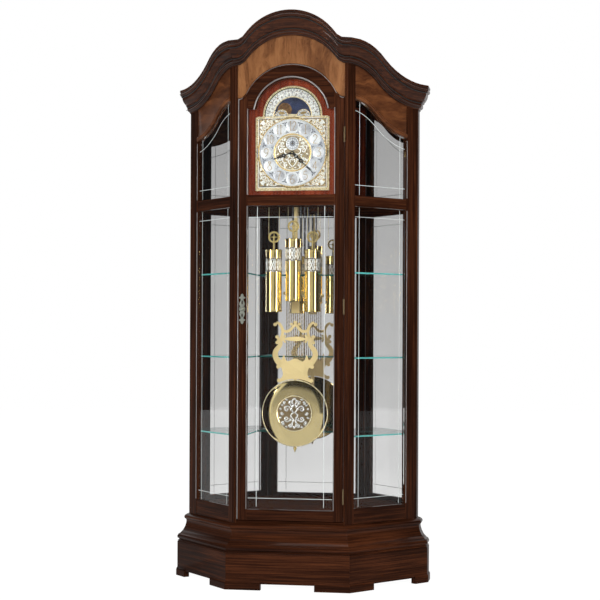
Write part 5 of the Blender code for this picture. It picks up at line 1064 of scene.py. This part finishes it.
def dress_bob():
    """The bob: a dished brass disc with a ringed medallion of silvered leaf scrolls."""
    rim = ((BOB_RADIUS - 3, 0), (BOB_RADIUS, 2), (BOB_RADIUS, 4.4), (BOB_RADIUS - 1, 5.4))
    dome = ((0.965, 6), (0.92, 8.8), (0.86, 11.9), (0.78, 14.8), (0.7, 16.7), (0.62, 17.9))
    middle = (
        (74, 18.5), (73.5, 20), (72.5, 20.6), (69, 20.6), (68, 20),
        (67.5, 18.4), (45, 19), (20, 19.5), (1, 19.7),
    )
    profile = rim + tuple((BOB_RADIUS * share, up) for share, up in dome) + middle
    profile = [(radius, BOB_BACK + up) for radius, up in profile]
    bob = turned("bob_disc", [(0, BOB)], profile, BOB_BRASS, "pendulum", 112, smooth=30)
    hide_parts("pendulum_bob")

    face = BOB_BACK + 19.2
    profile = ((67.6, face - 1.2), (67.6, face), (66, face + 0.2), (1, face + 0.8))
    turned("bob_medallion", [(0, BOB)], profile, MEDAL_BROWN, "pendulum", 80)
    medal = Relief(flat(face + 0.3, BOB), MIRRORED)
    medal.scrolls((
        (30, 18, 15, 200, 1.4, -1), (30, -22, 14, 160, 1.4, 1), (14, 44, 9.5, 250, 1.3, 1),
        (15, -50, 8, 110, 1.3, -1), (50, 0, 7, 180, 1.2, 1), (40, 43, 6.5, 240, 1.2, 1),
        (43, -42, 6, 120, 1.2, -1),
    ), 3.8, 1.1)
    for knots in (
        [(0, 60), (8, 50), (4, 33), (12, 16), (1, 2)],
        [(0, -60), (9, -42), (4, -26), (14, -8), (0, 6)],
    ):
        medal.stroke(bezier(knots), 3.2, 1.1)
    medal.leaves((
        (44, 30, 14, 20), (25, 56, 12, 350), (52, 14, 12, 40), (52, -14, 12, 320),
        (44, -30, 13, 300), (26, -56, 12, 10), (10, 26, 12, 60), (10, -22, 12, 300),
    ), 4, 1.1, 0.3)
    medal.finish("bob_scrolls", BLUE_SILVER, "pendulum")
    for name, up, radius, half, rise, steps in (
        ("ring", 18.4, 71, 3, 2.6, 96),
        ("rim", 4, BOB_RADIUS - 2.2, 2.1, 3, 128),
    ):
        ring = Relief(flat(BOB_BACK + up, BOB)).ring(radius, half, rise, steps=steps)
        ring.finish(f"bob_{name}", PALE_GOLD, "pendulum")


# The stage, the lamps and the camera


def make_stage():
    """A pale floor that fades into a white surround and keeps the clock's shadow."""
    shape = bmesh.new()
    bmesh.ops.create_circle(shape, cap_ends=True, segments=64, radius=14)
    look = Look("pale_floor", (0.86, 0.86, 0.85), roughness=0.9)
    seen, by_way = rays(look.tree)
    glow = add(look.tree, "Emission", {0: (1, 1, 1), 1: by_way * -0.28 + 1.09})
    look.blend((seen | by_way) * 0.9, glow)
    floor = from_shape("floor", shape, look.material, 40)


def make_world():
    """White behind the clock; before it, for gloss and glass, a plain room with a dark doorway."""
    world = bpy.data.worlds.new("surround")
    scene.world = world
    world.use_nodes = True
    tree = world.node_tree
    seen, by_way = rays(tree)
    x, y, z = add(tree, "TexCoord", out="Generated").xyz()
    aside = x.math("DIVIDE", (y * -1.0) | 0.05)
    doorway = aside.spread(0.22, 0.3) * aside.spread(0.55, 0.7, 1.0, 0.0)
    far = y.spread(-0.42, -0.22) * abs(x).spread(0.3, 0.6)
    hollow = aside.band(-1.7, -0.9, 0.06)
    room = z.spread(-0.11, 0.13, 0.74, 0.44)
    for shade, depth in ((doorway, 0.86), (far | z.spread(0.25, 0.5), 0.9), (hollow, 0.85)):
        room = room * (1.0 - shade * depth)
    room = room | aside.band(-0.74, -0.52, 0.04) | aside.band(0.9, 1.7, 0.06)
    behind = y.spread(0.45, 0.75)
    around = room * (1.0 - behind) + behind
    level = by_way * around + (1.0 - by_way) * 0.27
    level = seen + (1.0 - seen) * level
    back = world.node_tree.nodes["Background"]
    plug(tree, (1, 1, 1), back.inputs[0])
    plug(tree, level, back.inputs[1])


def make_lamp(name, spot, aim, size, power, shine=True):
    data = bpy.data.lights.new(name, "AREA")
    data.shape = "RECTANGLE"
    data.size, data.size_y = size
    data.energy = power
    lamp = linked(name, data)
    lamp.visible_glossy = lamp.visible_transmission = shine
    lamp.location = spot
    lamp.rotation_euler = (Vector(aim) - Vector(spot)).to_track_quat("-Z", "Y").to_euler()


def make_camera():
    """The camera fitted to the photo: its place in metres, and its lens in pixels of a 600 px frame."""
    turn, roll, reach, height = math.radians(9.228), math.radians(0.243), 6.6107, 1.0289
    pixels, focal, centre_x, centre_y = 600, 1576.57, 305.0, 329.77
    data = bpy.data.cameras.new("camera")
    data.sensor_width = 36
    data.lens = focal / pixels * data.sensor_width
    data.shift_x = (pixels / 2 - centre_x) / pixels
    data.shift_y = (centre_y - pixels / 2) / pixels
    data.clip_end = 100
    camera = linked("camera", data)
    upright = Matrix.Rotation(math.pi / 2, 4, "X") @ Matrix.Rotation(roll, 4, "Z")
    spot = Vector((reach * math.sin(turn), BACK_Y * MM - reach * math.cos(turn), height))
    camera.matrix_world = Matrix.Translation(spot) @ Matrix.Rotation(turn, 4, "Z") @ upright
    scene.camera = camera


dress_case()
hang_cables()
join_shelves()
dress_door()
bead_crown()
close_head()
groove_panes()
dress_chapter_ring()
dress_dial_rings()
dress_corners()
dress_centre()
dress_arch()
dress_weights()
twist_grid()
dress_bob()
make_stage()
make_world()
make_lamp("left", (-2.6, -2.9, 1.5), (0, 0, 1.2), (0.45, 2.4), 50)
make_lamp("right", (2.9, -2.5, 1.5), (0, 0, 1.1), (0.45, 2.4), 44)
make_lamp("fill", (0.4, -4.6, 2.6), (0, 0, 1.1), (2.2, 1.6), 105, shine=False)
make_lamp("top", (0.0, -0.8, 4.4), (0, 0, 1.2), (2.0, 1.6), 40)
make_lamp("rim", (2.4, -1.7, 3.9), (0.2, 0, 2.0), (0.35, 1.8), 26)
make_camera()
scene.view_settings.view_transform = "Standard"
